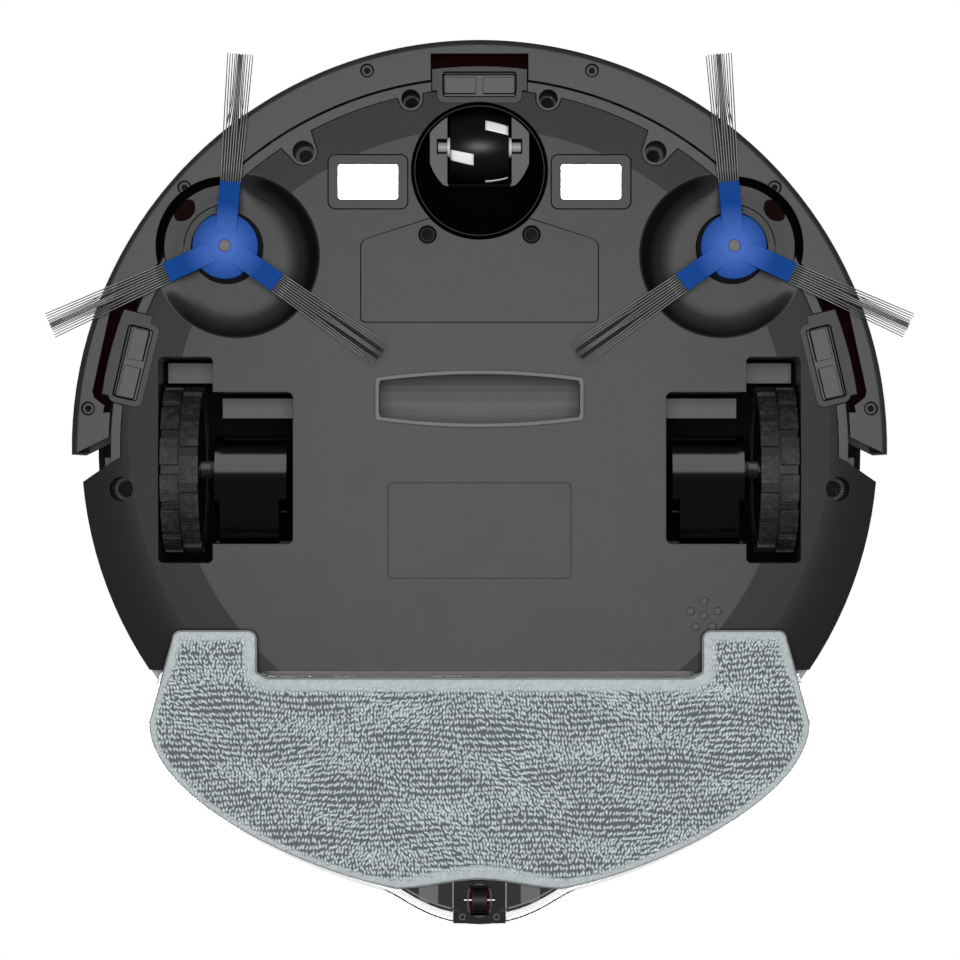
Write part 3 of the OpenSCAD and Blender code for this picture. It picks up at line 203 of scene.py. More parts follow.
def make_handling():
    """Slow colour drift, faint smudges and a little dust: a colour and a roughness."""
    tree, given, out = shader_group(
        "handling",
        {"Colour": ("Color", (0.1, 0.1, 0.1, 1)), "Roughness": ("Float", 0.5),
         "Drift": ("Float", 0.06), "Smudge": ("Float", 0.08), "Dust": ("Float", 0.0)},
        {"Colour": "Color", "Roughness": "Float"})
    dust_colour = (0.32, 0.31, 0.30, 1)
    where = object_space(tree)
    slow = noise(tree, where, 14.0, 3.0)
    smudges = ramp(tree, noise(tree, where, 55.0, 5.0, 0.62), 0.42, 0.72)
    specks = ramp(tree, noise(tree, where, 2600.0, 1.0), 0.66, 0.74)
    swing = times(tree, minus(tree, slow, 0.5), given["Drift"])
    gain = plus(tree, times(tree, swing, 2.0), 1.0)
    grey = add(tree, "ShaderNodeCombineColor", {0: gain, 1: gain, 2: gain}).outputs[0]
    toned = mix_colour(tree, 1.0, given["Colour"], grey, "MULTIPLY")
    dusty = times(tree, specks, given["Dust"])
    tree.links.new(mix_colour(tree, dusty, toned, dust_colour), out["Colour"])
    smeared = times(tree, minus(tree, smudges, 0.35), given["Smudge"])
    rough = plus(tree, given["Roughness"], smeared)
    tree.links.new(plus(tree, rough, dusty, clamp=True), out["Roughness"])
    return tree


def make_edge_wear():
    """Edges that handling has rubbed: a mask, strongest on the sharpest corners."""
    tree, given, out = shader_group(
        "edge wear", {"Amount": ("Float", 0.3)}, {"Mask": "Float"})
    sharp = ramp(tree, tree.nodes.new("ShaderNodeNewGeometry").outputs["Pointiness"], 0.53, 0.62)
    broken = ramp(tree, noise(tree, object_space(tree), 420.0, 3.0), 0.4, 0.62)
    tree.links.new(times(tree, times(tree, sharp, broken), given["Amount"], clamp=True),
                   out["Mask"])
    return tree


def make_turned_lines():
    """Fine lines left by turning or brushing along one axis: a height and a mask."""
    tree, given, out = shader_group(
        "turned lines", {"Fineness": ("Float", 4000.0), "Along": ("Vector", (1, 1, 0.02))},
        {"Height": "Float", "Mask": "Float"})
    stretched = add(tree, "ShaderNodeVectorMath", {0: object_space(tree), 1: given["Along"]},
                    operation="MULTIPLY").outputs[0]
    lines = noise(tree, stretched, given["Fineness"], 2.0)
    tree.links.new(lines, out["Height"])
    tree.links.new(ramp(tree, lines, 0.35, 0.65), out["Mask"])
    return tree


def make_fibre():
    """Short twisted fibre for yarn and filter paper: a height and a mask."""
    tree, given, out = shader_group(
        "fibre", {"Fineness": ("Float", 2500.0)}, {"Height": "Float", "Mask": "Float"})
    where = object_space(tree)
    strands = add(tree, "ShaderNodeTexWave",
                  {"Vector": where, "Scale": given["Fineness"], "Distortion": 6.0, "Detail": 2.0,
                   "Detail Scale": 1.4}, wave_type="BANDS", bands_direction="DIAGONAL").outputs[1]
    fuzz = noise(tree, where, times(tree, given["Fineness"], 1.3), 3.0, 0.65)
    both = plus(tree, times(tree, strands, 0.5), times(tree, fuzz, 0.5))
    tree.links.new(both, out["Height"])
    tree.links.new(ramp(tree, both, 0.3, 0.7), out["Mask"])
    return tree


def make_bowl_form():
    """The sweep of the two side-brush bowls: a gentle dish that steepens towards a crisp lip
    and runs out at the bumper's side. Gives the normal of that wall."""
    tree, given, out = shader_group("bowl form", {"Normal": ("Vector", (0, 0, 1))},
                                    {"Normal": "Vector"})
    bowl_x, bowl_y = 96.5, -76.5
    dish_slope, wall_slope = math.radians(22), math.radians(58)
    here = places(tree)
    dx, dy = minus(tree, sideways(tree, here), bowl_x), minus(tree, here["Y"], bowl_y)
    away = reach(tree, dx, dy)
    dx, dy = maths(tree, "DIVIDE", dx, away), maths(tree, "DIVIDE", dy, away)
    inwards = plus(tree, times(tree, dx, -2.8), times(tree, dy, -1.6))
    deeper = plus(tree, away, maths(tree, "MAXIMUM", inwards, 0.0))
    dish = smooth_ramp(tree, deeper, 19.5, 32.5, dish_slope)
    wall = smooth_ramp(tree, deeper, 26.0, 32.8, wall_slope)
    lip = falling(tree, away, 31.9, 33.2)
    toward_bumper = minus(tree, times(tree, dx, 0.87), times(tree, dy, 0.5))
    shut = falling(tree, toward_bumper, 0.15, 0.6)
    tilt = times(tree, times(tree, plus(tree, dish, wall), lip), shut)
    lean = times(tree, maths(tree, "SINE", tilt), -1.0)
    side = maths(tree, "SIGN", here["X"])
    leaning = add(tree, "ShaderNodeCombineXYZ",
                  {0: times(tree, times(tree, lean, dx), side), 1: times(tree, lean, dy),
                   2: times(tree, maths(tree, "COSINE", tilt), -1.0)}).outputs[0]
    turned = add(tree, "ShaderNodeVectorTransform", {0: leaning}, vector_type="NORMAL",
                 convert_from="OBJECT", convert_to="WORLD").outputs[0]
    inside_bowl = times(tree, falling(tree, away, 32.6, 33.4),
                        falling(tree, here["Z"], 22.5, 23.0))
    tree.links.new(add(tree, "ShaderNodeMix", {0: inside_bowl, 4: given["Normal"], 5: turned},
                       data_type="VECTOR", factor_mode="UNIFORM").outputs[1], out["Normal"])
    return tree


def make_soft_edge():
    """The small radius that a mould or a tumbling drum leaves on every edge: a normal."""
    tree, given, out = shader_group("soft edge", {"Radius": ("Float", 0.0004)},
                                    {"Normal": "Vector"})
    rounded = add(tree, "ShaderNodeBevel", {"Radius": given["Radius"]}, samples=6)
    tree.links.new(rounded.outputs[0], out["Normal"])
    return tree


bowl_form = make_bowl_form()
soft_edge = make_soft_edge()
mould_grain = make_mould_grain()
handling = make_handling()
edge_wear = make_edge_wear()
turned_lines = make_turned_lines()
fibre = make_fibre()


# ------------------------------------------------------------------ finishes

def new_finish(name, **fixed):
    """A material with a Principled shader whose constant values are set on its own sockets."""
    material = bpy.data.materials.new(name)
    material.use_nodes = True
    tree = material.node_tree
    shader = tree.nodes["Principled BSDF"]
    for socket, value in fixed.items():
        shader.inputs[socket.replace("_", " ")].default_value = value
    return material, tree, shader


def bump(tree, shader, height, depth, strength=1.0, edge=0.0):
    """Surface relief of some depth, over edges rounded by some radius, both in millimetres."""
    node = add(tree, "ShaderNodeBump", {"Height": height, "Distance": depth * MM,
                                        "Strength": strength})
    if edge:
        tree.links.new(place(tree, soft_edge, Radius=edge * MM)["Normal"], node.inputs["Normal"])
    tree.links.new(node.outputs[0], shader.inputs["Normal"])
    return node


def feed(tree, shader, colour, roughness):
    tree.links.new(colour, shader.inputs["Base Color"])
    tree.links.new(roughness, shader.inputs["Roughness"])


def moulded(name, colour, rough, grain=0.35, depth=0.02, wear=0.15, specular=0.28, edge=0.35,
            patches=(), bowls=False, **fixed):
    """Moulded plastic with a fine grain, slow colour drift and rubbed edges.

    patches holds functions for a mask, each with the colour and the extra roughness there."""
    material, tree, shader = new_finish(name, Specular_IOR_Level=specular, **fixed)
    used = place(tree, handling, Colour=(*colour, 1), Roughness=rough, Drift=0.01, Smudge=0.01)
    worn = place(tree, edge_wear, Amount=wear)["Mask"]
    pale = tuple(min(1.0, c * 1.5 + 0.015) for c in colour)
    colour_out = mix_colour(tree, worn, used["Colour"], (*pale, 1))
    rough_out = used["Roughness"]
    for mask, tone, dullness in patches:
        there = mask(tree, places(tree))
        colour_out = mix_colour(tree, there, colour_out, (*tone, 1))
        rough_out = plus(tree, rough_out, times(tree, there, dullness), clamp=True)
    feed(tree, shader, colour_out, rough_out)
    relief = bump(tree, shader, place(tree, mould_grain, Grain_Size=grain)["Height"], depth,
                  edge=edge)
    if bowls:
        tree.links.new(place(tree, bowl_form, Normal=relief.outputs[0])["Normal"],
                       shader.inputs["Normal"])
    return material


def metal(name, colour, rough, along=(1, 1, 0.05)):
    """Plated or turned metal with fine tool lines."""
    material, tree, shader = new_finish(name, Metallic=1.0)
    used = place(tree, handling, Colour=(*colour, 1), Roughness=rough, Drift=0.04, Smudge=0.12)
    lines = place(tree, turned_lines, Fineness=3500.0, Along=along)
    dark = tuple(c * 0.82 for c in colour)
    toned = mix_colour(tree, lines["Mask"], used["Colour"], (*dark, 1))
    feed(tree, shader, toned, used["Roughness"])
    bump(tree, shader, lines["Height"], 0.01, 0.5, edge=0.15)
    return material


def tyre_rubber(name, colour, rough):
    """Moulded rubber with rows of fine dots between the grooves."""
    material, tree, shader = new_finish(name, Specular_IOR_Level=0.3)
    used = place(tree, handling, Colour=(*colour, 1), Roughness=rough, Drift=0.12, Smudge=0.12,
                 Dust=0.10)
    worn = place(tree, edge_wear, Amount=0.5)["Mask"]
    toned = mix_colour(tree, worn, used["Colour"], (0.05, 0.05, 0.05, 1))
    feed(tree, shader, toned, used["Roughness"])
    dots = add(tree, "ShaderNodeTexVoronoi", {"Vector": object_space(tree), "Scale": 900.0,
                                              "Randomness": 0.15}).outputs["Distance"]
    grain = place(tree, mould_grain, Grain_Size=0.2)["Height"]
    height = plus(tree, falling(tree, dots, 0.2, 0.45), times(tree, grain, 0.4))
    bump(tree, shader, height, 0.12, 0.8, edge=0.25)
    return material


def yarn(name, light, dark, fineness=1500.0, depth=0.10):
    """Microfibre yarn with painted light and shade: brighter on the crown of each loop and dark at
    its foot.
    """
    material, tree, shader = new_finish(name, Specular_IOR_Level=0.15, Sheen_Weight=0.25,
                                        Sheen_Roughness=0.5)
    strands = place(tree, fibre, Fineness=fineness)
    # painted light and shade: the held crown value lifts the colour from the dark of a shaded foot
    # to the light of a lit top
    shade = times(tree, held_value(tree, "crown"),
                  ramp(tree, strands["Mask"], 0.0, 1.0, 0.86, 1.06), clamp=True)
    used = place(tree, handling, Colour=mix_colour(tree, shade, (*dark, 1), (*light, 1)),
                 Roughness=0.85, Drift=0.10, Smudge=0.05)
    feed(tree, shader, used["Colour"], used["Roughness"])
    bump(tree, shader, strands["Height"], depth, 0.7)
    return material


def paper(name, colour):
    """Pleated filter paper."""
    material, tree, shader = new_finish(name, Specular_IOR_Level=0.1, Roughness=0.9)
    strands = place(tree, fibre, Fineness=900.0)
    dark = tuple(c * 0.88 for c in colour)
    tree.links.new(mix_colour(tree, strands["Mask"], (*dark, 1), (*colour, 1)),
                   shader.inputs["Base Color"])
    bump(tree, shader, strands["Height"], 0.05)
    return material


def clear_plastic(name, colour, rough, amount):
    """Clear plastic with a faint milky haze."""
    material, tree, shader = new_finish(name, IOR=1.46, Transmission_Weight=amount,
                                        Specular_IOR_Level=0.6)
    used = place(tree, handling, Colour=(*colour, 1), Roughness=rough, Drift=0.02, Smudge=0.05)
    feed(tree, shader, used["Colour"], used["Roughness"])
    bump(tree, shader, place(tree, mould_grain, Grain_Size=3.0)["Height"], 0.02, 0.3)
    return material


def painted_well_shade(tree, here):
    """Painted shade: the top of a wheel well, which no light reaches, painted black."""
    return ramp(tree, here["Z"], 43.0, 45.0)


def under_cover(tree, here):
    """The top cover's underside, below its outer face."""
    return falling(tree, here["Z"], 70.9, 71.0)


def mop_recess(tree, here):
    """The strip of the recess that shows in front of the cloth."""
    return times(tree, within(tree, here["Y"], 88.6, 93.0), ramp(tree, here["Z"], 22.0, 23.0))


def sensor_eye(tree, here):
    """The dark oval eyes of the two wall sensors, turned along the body's edge."""
    eye_x, eye_y, half_length, half_width = 117.6, -94.6, 5.2, 3.4
    run_x, run_y = 0.68, 0.73
    dx, dy = minus(tree, sideways(tree, here), eye_x), minus(tree, here["Y"], eye_y)
    along = plus(tree, times(tree, dx, run_x), times(tree, dy, run_y))
    aside = minus(tree, times(tree, dx, run_y), times(tree, dy, run_x))
    away = reach(tree, maths(tree, "DIVIDE", along, half_length),
                 maths(tree, "DIVIDE", aside, half_width))
    return times(tree, falling(tree, away, 0.95, 1.0), falling(tree, here["Z"], 26.0, 27.0))


def painted_bowl_gap_shade(tree, here):
    """Painted shade: the part of the sensor window that a side brush's bowl leaves open, painted
    near-black as the shadowed gap under the flange.
    """
    return falling(tree, from_pair(tree, here, HUB_X, HUB_Y), 30.5, 31.5)


def painted_cup_rim_highlight(tree, here):
    """Painted highlight: a thin light ring round the caster's cup, where its rim catches the light.
    """
    caster_y = -110.3
    away = reach(tree, here["X"], minus(tree, here["Y"], caster_y))
    return times(tree, within(tree, away, 25.6, 25.9, 0.1), falling(tree, here["Z"], 13.0, 14.0))


def painted_lit_fork_cheeks(tree, here):
    """Painted light: the flat outer cheeks of the caster's fork, painted grey where the light falls
    on them.
    """
    return times(tree, ramp(tree, sideways(tree, here), 12.3, 12.6),
                 falling(tree, here["Z"], 10.4, 10.6))


def wheel_stub(tree, here):
    """The bare stub shaft between a motor's housing and its wheel."""
    return within(tree, sideways(tree, here), 107.2, 112.2)


def stub_ring(side):
    """The coloured ring at the motor's end of the stub shaft, on one side."""
    def mask(tree, here):
        return within(tree, times(tree, here["X"], side), 107.3, 108.6)
    return mask


def painted_dome_sheen(tree, here):
    """Painted sheen: the domed middle of a side brush's hub, painted a lighter blue where it
    catches the light, fading outwards.
    """
    return falling(tree, from_pair(tree, here, HUB_X, HUB_Y), 4.0, 17.0)


def painted_screw_gap_shade(tree, here):
    """Painted shade: a dark ring round the battery door's two screws, standing for the shadowed gap
    round each.
    """
    return within(tree, from_pair(tree, here, 20.7, -84.8), 2.75, 3.65, 0.12)


def painted_bumper_screw_shade(tree, here):
    """Painted shade: a dark ring round each of the bumper's six screws, standing for the shadowed
    gap round it.
    """
    ring = bumper_high.x / MM - 5.9
    found = 0.0
    for turn in (-73.4, -41.4, -5.7):
        x, y = ring * math.cos(math.radians(turn)), ring * math.sin(math.radians(turn))
        gap = within(tree, from_pair(tree, here, x, y), 2.15, 2.75, 0.12)
        found = maths(tree, "MAXIMUM", gap, found)
    return found


def painted_tail_glow(tree, here):
    """Painted light: where the light of the clear tank comes through the thin apron, painted as a
    lighter grey.
    """
    return times(tree, within(tree, sideways(tree, here), 16.4, 24.0),
                 within(tree, here["Y"], 172.8, 180.6))


def painted_outer_strand_shade(tree, here):
    """Painted shade: the outer strands of a bristle fan, painted darker where light shines past
    them.
    """
    return held_value(tree, "beyond")


def roller_ends(tree, here):
    """The coloured ends of the tail roller."""
    return ramp(tree, sideways(tree, here), 2.5, 2.7)


case = (0.018, 0.018, 0.0185)
black = (0.001, 0.001, 0.001)
finishes = {
    # painted shade: a dark ring round the battery door's screws
    "base_plastic": moulded("base_plastic", case, 0.36, specular=0.125, bowls=True,
                            patches=[(mop_recess, (0.38, 0.365, 0.355), 0.0),
                                     (painted_screw_gap_shade, black, 0.5),
                                     (sensor_eye, (0.006, 0.0003, 0.0002), 0.6)]),
    "ring_plastic": moulded("ring_plastic", (0.022, 0.022, 0.0225), 0.38, grain=0.3,
                            specular=0.18),
    "cover_plastic": moulded("cover_plastic", (0.010, 0.010, 0.012), 0.16, grain=1.2, depth=0.004,
                             wear=0.1, specular=0.5, patches=[(under_cover, black, 0.8)]),
    "inlay_gloss": moulded("inlay_gloss", (0.022, 0.022, 0.026), 0.12, grain=1.2, depth=0.003,
                           wear=0.1, specular=0.5, Coat_Weight=0.6, Coat_Roughness=0.03),
    "light_guide": moulded("light_guide", (0.70, 0.78, 0.82), 0.3, depth=0.005, wear=0.0),
    "battery_wrap": moulded("battery_wrap", (0.02, 0.06, 0.18), 0.3, grain=2.0, depth=0.03),
    "board": moulded("board", (0.01, 0.09, 0.04), 0.35, grain=0.8),
    "duct_plastic": moulded("duct_plastic", (0.17, 0.17, 0.172), 0.45),
    "lip_plastic": moulded("lip_plastic", (0.018, 0.018, 0.019), 0.38, depth=0.01),
    "window_plastic": moulded("window_plastic", (0.028, 0.028, 0.029), 0.36, grain=0.6,
                              depth=0.006, specular=0.19),
    "contact_metal": metal("contact_metal", (0.93, 0.93, 0.93), 0.32, along=(1, 0.04, 1)),
    "gear_plastic": moulded("gear_plastic", (0.004, 0.004, 0.004), 0.6, specular=0.05),
    "caster_black": moulded("caster_black", (0.003, 0.003, 0.003), 0.34, grain=1.5,
                            depth=0.004, wear=0.0, specular=0.16),
    # the fork's flat cheeks are painted grey as painted light on its lit faces
    "fork_plastic": moulded("fork_plastic", black, 0.6, wear=0.25, specular=0.02,
                            patches=[(painted_lit_fork_cheeks, (0.12, 0.12, 0.122), 0.0)]),
    "steel": metal("steel", (0.50, 0.50, 0.51), 0.5),
    "washer_plastic": moulded("washer_plastic", (0.70, 0.70, 0.70), 0.35, depth=0.005, wear=0.0),
    "screw_steel": metal("screw_steel", (0.005, 0.005, 0.0051), 0.5),
    # painted shade: a dark ring round each bumper screw
    "bumper_plastic": moulded("bumper_plastic", (0.024, 0.024, 0.0245), 0.38, specular=0.17,
                              patches=[(painted_bumper_screw_shade, black, 0.5)]),
    # painted shade: the window is near-black where the bowl's gap would shadow it
    "ir_window": moulded("ir_window", (0.010, 0.0005, 0.0006), 0.5, grain=1.5, depth=0.003,
                         wear=0.0, specular=0.01,
                         patches=[(painted_bowl_gap_shade, (0.001, 0.001, 0.003), 0.0)]),
    "stop_rubber": moulded("stop_rubber", (0.02, 0.02, 0.02), 0.75),
    "small_black": moulded("small_black", (0.02, 0.02, 0.02), 0.45),
    # the hub's dome is painted a lighter blue as a painted sheen
    "blue_plastic": moulded("blue_plastic", (0.0024, 0.0465, 0.233), 0.45, grain=0.5, depth=0.008,
                            wear=0.1, specular=0.02,
                            patches=[(painted_dome_sheen, (0.056, 0.132, 0.46), 0.0)]),
    # the outer strands past the body are painted darker as painted shade
    "bristle": moulded("bristle", (0.17, 0.17, 0.172), 0.3, grain=0.2, depth=0.004, wear=0.0,
                       specular=0.5, edge=0.0,
                       patches=[(painted_outer_strand_shade, (0.03, 0.03, 0.03), 0.3)]),
    "brush_screw_grey": moulded("brush_screw_grey", (0.080, 0.070, 0.074), 0.45),
    "module_black": moulded("module_black", (0.0035, 0.0035, 0.0035), 0.16, grain=1.6,
                            depth=0.003, wear=0.0, specular=0.4,
                            patches=[(wheel_stub, (0.33, 0.35, 0.34), 0.3),
                                     (stub_ring(-1), (0.03, 0.16, 0.05), 0.3),
                                     (stub_ring(1), (0.02, 0.08, 0.28), 0.3)]),
    "tyre_rubber": tyre_rubber("tyre_rubber", (0.009, 0.009, 0.009), 0.6),
    "bin_plastic": moulded("bin_plastic", (0.008, 0.008, 0.008), 0.3, grain=1.0, depth=0.006,
                           specular=0.12),
    "filter_paper": paper("filter_paper", (0.72, 0.71, 0.66)),
    "tank_clear": clear_plastic("tank_clear", (0.93, 0.93, 0.93), 0.04, 0.92),
    # the tail's apron is painted lighter where the tank's light would show through, as painted
    # light
    "mop_black": moulded("mop_black", (0.016, 0.016, 0.016), 0.4, specular=0.06,
                         patches=[(painted_tail_glow, (0.13, 0.13, 0.132), 0.2)]),
    "cloth": yarn("cloth", (0.77, 0.85, 0.865), (0.075, 0.090, 0.095)),
    "roller_rubber": moulded("roller_rubber", (0.004, 0.004, 0.004), 0.5, specular=0.2,
                             patches=[(roller_ends, (0.055, 0.004, 0.004), 0.1)]),
}
own_finish = {  # for nodes whose name starts so, in place of their slot's finish
    # the top of each wheel well is painted black as painted shade
    "wheel_well": moulded("well_plastic", (0.026, 0.026, 0.0265), 0.36, specular=0.16,
                          patches=[(painted_well_shade, black, 0.6)]),
    # a painted highlight ring round the cup's rim
    "caster_cup": moulded("cup_black", black, 0.7, wear=0.0, specular=0.01,
                          patches=[(painted_cup_rim_highlight, (0.05, 0.05, 0.05), 0.0)]),
    "roller_housing": moulded("box_black", (0.006, 0.006, 0.006), 0.36, grain=0.8, specular=0.05),
    "caster_axle": moulded("axle_satin", (0.30, 0.30, 0.31), 0.45, grain=0.2, wear=0.0),
}
hem_finish = yarn("cloth_hem", (0.50, 0.545, 0.555), (0.20, 0.23, 0.24), fineness=420.0, depth=0.3)
patch_white = moulded("patch_white", (0.80, 0.80, 0.80), 0.25, grain=1.0, depth=0.004, wear=0.0)
mark_black = moulded("mark_black", (0.002, 0.002, 0.002), 0.6, wear=0.0, specular=0.02)
# painted shade: the lower row of strands is painted dark as the shade between strands
painted_shade_strand = moulded("painted_shade_strand", (0.016, 0.016, 0.016), 0.5, wear=0.0, specular=0.15, edge=0.0)
rim_grey = moulded("rim_grey", (0.13, 0.13, 0.13), 0.4, wear=0.0)

for row in record["subparts"]:
    part = nodes_by_name[row["node"]]
    chosen = [own for start, own in own_finish.items() if row["node"].startswith(start)]
    for held in part.material_slots:
        held.material = chosen[0] if chosen else finishes[row["material_slot"]]


# ------------------------------------------------------------------ mesh helpers

def into_scene(name, data):
    """Puts a mesh, a lamp or a camera into the scene as an object."""
    made = bpy.data.objects.new(name, data)
    bpy.context.scene.collection.objects.link(made)
    return made


def hold_values(mesh, name, values):
    """Gives a mesh one value at each of its points, for its finish to read."""
    mesh.attributes.new(name, "FLOAT", "POINT").data.foreach_set("value", values)


def mesh_piece(name, points, faces, finish, body, smooth=True):
    mesh = bpy.data.meshes.new(name)
    mesh.from_pydata([tuple(p) for p in points], [], [tuple(f) for f in faces])
    mesh.validate()
    mesh.materials.append(finish)
    piece = into_scene(name, mesh)
    if smooth:
        mesh.polygons.foreach_set("use_smooth", [True] * len(mesh.polygons))
    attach(piece, body)
    return piece


def strip_faces(rows, columns, closed_rows=False, closed_columns=False, start=0):
    """Quads between neighbouring points of a grid laid out row by row."""
    faces = []
    for i in range(rows if closed_rows else rows - 1):
        for j in range(columns if closed_columns else columns - 1):
            a = start + i * columns + j
            b = start + i * columns + (j + 1) % columns
            c = start + ((i + 1) % rows) * columns + (j + 1) % columns
            d = start + ((i + 1) % rows) * columns + j
            faces.append((a, b, c, d))
    return faces


def bezier(p, q, s, t, count):
    u = np.linspace(0, 1, count + 1)[:, None]
    return ((1 - u) ** 3 * p + 3 * (1 - u) ** 2 * u * q + 3 * (1 - u) * u ** 2 * s + u ** 3 * t)


def arc(centre, radius, start, end, count):
    a = np.radians(np.linspace(start, end, count + 1))
    return np.stack([centre[0] + radius * np.cos(a), centre[1] + radius * np.sin(a)], 1)


def resampled(line, step):
    """A closed line walked again at even steps."""
    line = np.vstack([line, line[:1]])
    along = np.concatenate([[0], np.cumsum(np.hypot(*np.diff(line, axis=0).T))])
    count = int(along[-1] / step)
    marks = np.linspace(0, along[-1], count, endpoint=False)
    return np.stack([np.interp(marks, along, line[:, k]) for k in (0, 1)], 1)


# ------------------------------------------------------------------ mop cloth

def cloth_line():
    """The cloth's outline, anticlockwise seen from above, in millimetres from the middle."""
    f = np.array
    side, crest = f([131.0, 109.0]), f([33.0, 174.9])
    half = np.vstack([
        bezier(f([0, 171.2]), f([12, 171.4]), f([22, 174.9]), crest, 16),
        bezier(crest, crest + [35, -6.4], f([131.0, 140.0]), side, 40),
        arc((118.3, 75.9), 3.6, 0, -90, 8),
        arc((91.7, 75.9), 3.6, -90, -180, 8),
        f([[88.1, 88.9], [84.0, 91.1], [0, 91.1]])])
    return np.vstack([half, half[-2:0:-1] * [-1, 1]])


outline = resampled(cloth_line(), 1.0)
tangent = np.roll(outline, -1, 0) - np.roll(outline, 1, 0)
inward = np.stack([tangent[:, 1], -tangent[:, 0]], 1) / np.hypot(*tangent.T)[:, None]
middle = np.array([0, 125.0])
if ((outline + inward * 2 - middle) ** 2).sum() > ((outline - inward * 2 - middle) ** 2).sum():
    inward = -inward


def inside(points, line):
    """Which points lie inside a closed line."""
    x, y = points[:, 0][:, None], points[:, 1][:, None]
    x0, y0 = line[:, 0], line[:, 1]
    x1, y1 = np.roll(x0, -1), np.roll(y0, -1)
    crosses = (y0 > y) != (y1 > y)
    with np.errstate(divide="ignore", invalid="ignore"):
        cut = x0 + (y - y0) * (x1 - x0) / (y1 - y0)
    return (np.where(crosses & (x < cut), 1, 0).sum(1) % 2) == 1


def hem_width(point):
    """How far the smooth border reaches in: wide along the front and round the tail."""
    x, y = abs(point[0]), point[1]
    narrowest = 2.2
    front = 4.8 if y < 92.5 and x < 88.5 else 0
    ear = 3.6 if y < 90 and x > 87 else 0
    tail = 2.4 + 2.6 * max(0.0, 1 - (x / 44) ** 2) if y > 160 else 0
    return max(narrowest, front, ear, tail)


widths = np.array([hem_width(p) for p in outline])
evening = np.ones(9) / 9  # softens the steps in width over nine neighbours
widths = np.convolve(np.concatenate([widths[-4:], widths, widths[:4]]), evening, "valid")

cloth_low, cloth_high = (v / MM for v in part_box("mop_cloth"))
pile_foot, pile_tip = cloth_low.z + 1.6, cloth_low.z + 0.1
LOOP_RINGS, LOOP_SIDES = 6, 6
BATCHES = 24  # distances are taken in batches, so that the tables stay small


def make_backing():
    """The knitted sheet that carries the loops, a little thicker than paper."""
    bm = bmesh.new()
    top_z, low_in, top_in = cloth_high.z - 0.1, 0.5, 0.3
    low = [bm.verts.new(at(*(p + n * low_in), pile_foot)) for p, n in zip(outline, inward)]
    top = [bm.verts.new(at(*(p + n * top_in), top_z)) for p, n in zip(outline, inward)]
    bm.faces.new(low)
    bm.faces.new(top[::-1])
    for i in range(len(low)):
        j = (i + 1) % len(low)
        bm.faces.new((low[i], top[i], top[j], low[j]))
    bmesh.ops.triangulate(bm, faces=[f for f in bm.faces if len(f.verts) > 4])
    bmesh.ops.recalc_face_normals(bm, faces=bm.faces)
    mesh = bpy.data.meshes.new("mop_cloth_backing")
    bm.to_mesh(mesh)
    bm.free()
    mesh.materials.append(finishes["cloth"])
    # painted shade: the backing is painted nearly as dark as a loop's foot
    hold_values(mesh, "crown", [0.05] * len(mesh.vertices))
    piece = into_scene("mop_cloth_backing", mesh)
    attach(piece, "mop")
    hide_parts("mop_cloth")
    return piece


def sow_loops():
    """Where the loops stand, which way each one turns and how large it is, in wavy rows."""
    row_gap, loop_gap = 2.08, 1.30
    feet, turns, sizes = [], [], []
    for row in np.arange(70, 178, row_gap):
        x = np.arange(-131, 131, loop_gap) + rng.uniform(0, loop_gap)
        x = x + rng.normal(0, 0.12, len(x))
        wave = (0.9 * np.sin(x / 17 + row / 9) + 0.6 * np.sin(x / 7.3 - row / 5)
                + 0.5 * np.sin(x / 41 + row / 3))
        y = row + wave + rng.normal(0, 0.27, len(x))
        lean = (np.sin(x / 23 + row / 31) + 0.8 * np.sin(x / 9 - row / 13)) * 24
        lean = lean + rng.normal(0, 13, len(x))
        feet.append(np.stack([x, y], 1))
        turns.append(np.radians(90 + lean))
        sizes.append(rng.uniform(0.82, 1.12, len(x)))
    return np.vstack(feet), np.concatenate(turns), np.concatenate(sizes)


def depth_in(feet):
    """How far in from the rim each loop stands, in widths of the border there."""
    found = []
    for some in np.array_split(feet, BATCHES):
        gaps = np.hypot(some[:, :1] - outline[:, 0], some[:, 1:] - outline[:, 1])
        found.append(gaps.min(1) / widths[gaps.argmin(1)])
    return np.concatenate(found)


def loop_points(feet, turns, sizes, height):
    """The points of all loops, each one the lower half of a rounded grain, and their rise."""
    u = np.radians(np.linspace(-78, 78, LOOP_RINGS))[:, None]
    v = np.radians(np.linspace(-90, 90, LOOP_SIDES))[None, :]
    grain = np.stack([np.sin(u) + 0 * v, np.cos(u) * np.sin(v), np.cos(u) * np.cos(v)], -1)
    grain = grain.reshape(-1, 3)
    count = len(feet)
    long_half = 1.28 * sizes[:, None]
    wide_half = 0.69 * sizes[:, None] * rng.uniform(0.88, 1.08, (count, 1))
    a, b = grain[None, :, 0] * long_half, grain[None, :, 1] * wide_half
    b = b + 0.22 * np.sin(a * 2.1 + rng.uniform(0, 6, (count, 1)))
    c, s = np.cos(turns)[:, None], np.sin(turns)[:, None]
    x = feet[:, :1] + a * c - b * s
    y = feet[:, 1:] + a * s + b * c
    rise = grain[None, :, 2] * height[:, None]
    z = pile_foot + 0.05 - rise
    return np.stack([x * MM, centre_y + y * MM, z * MM], -1).reshape(-1, 3), rise


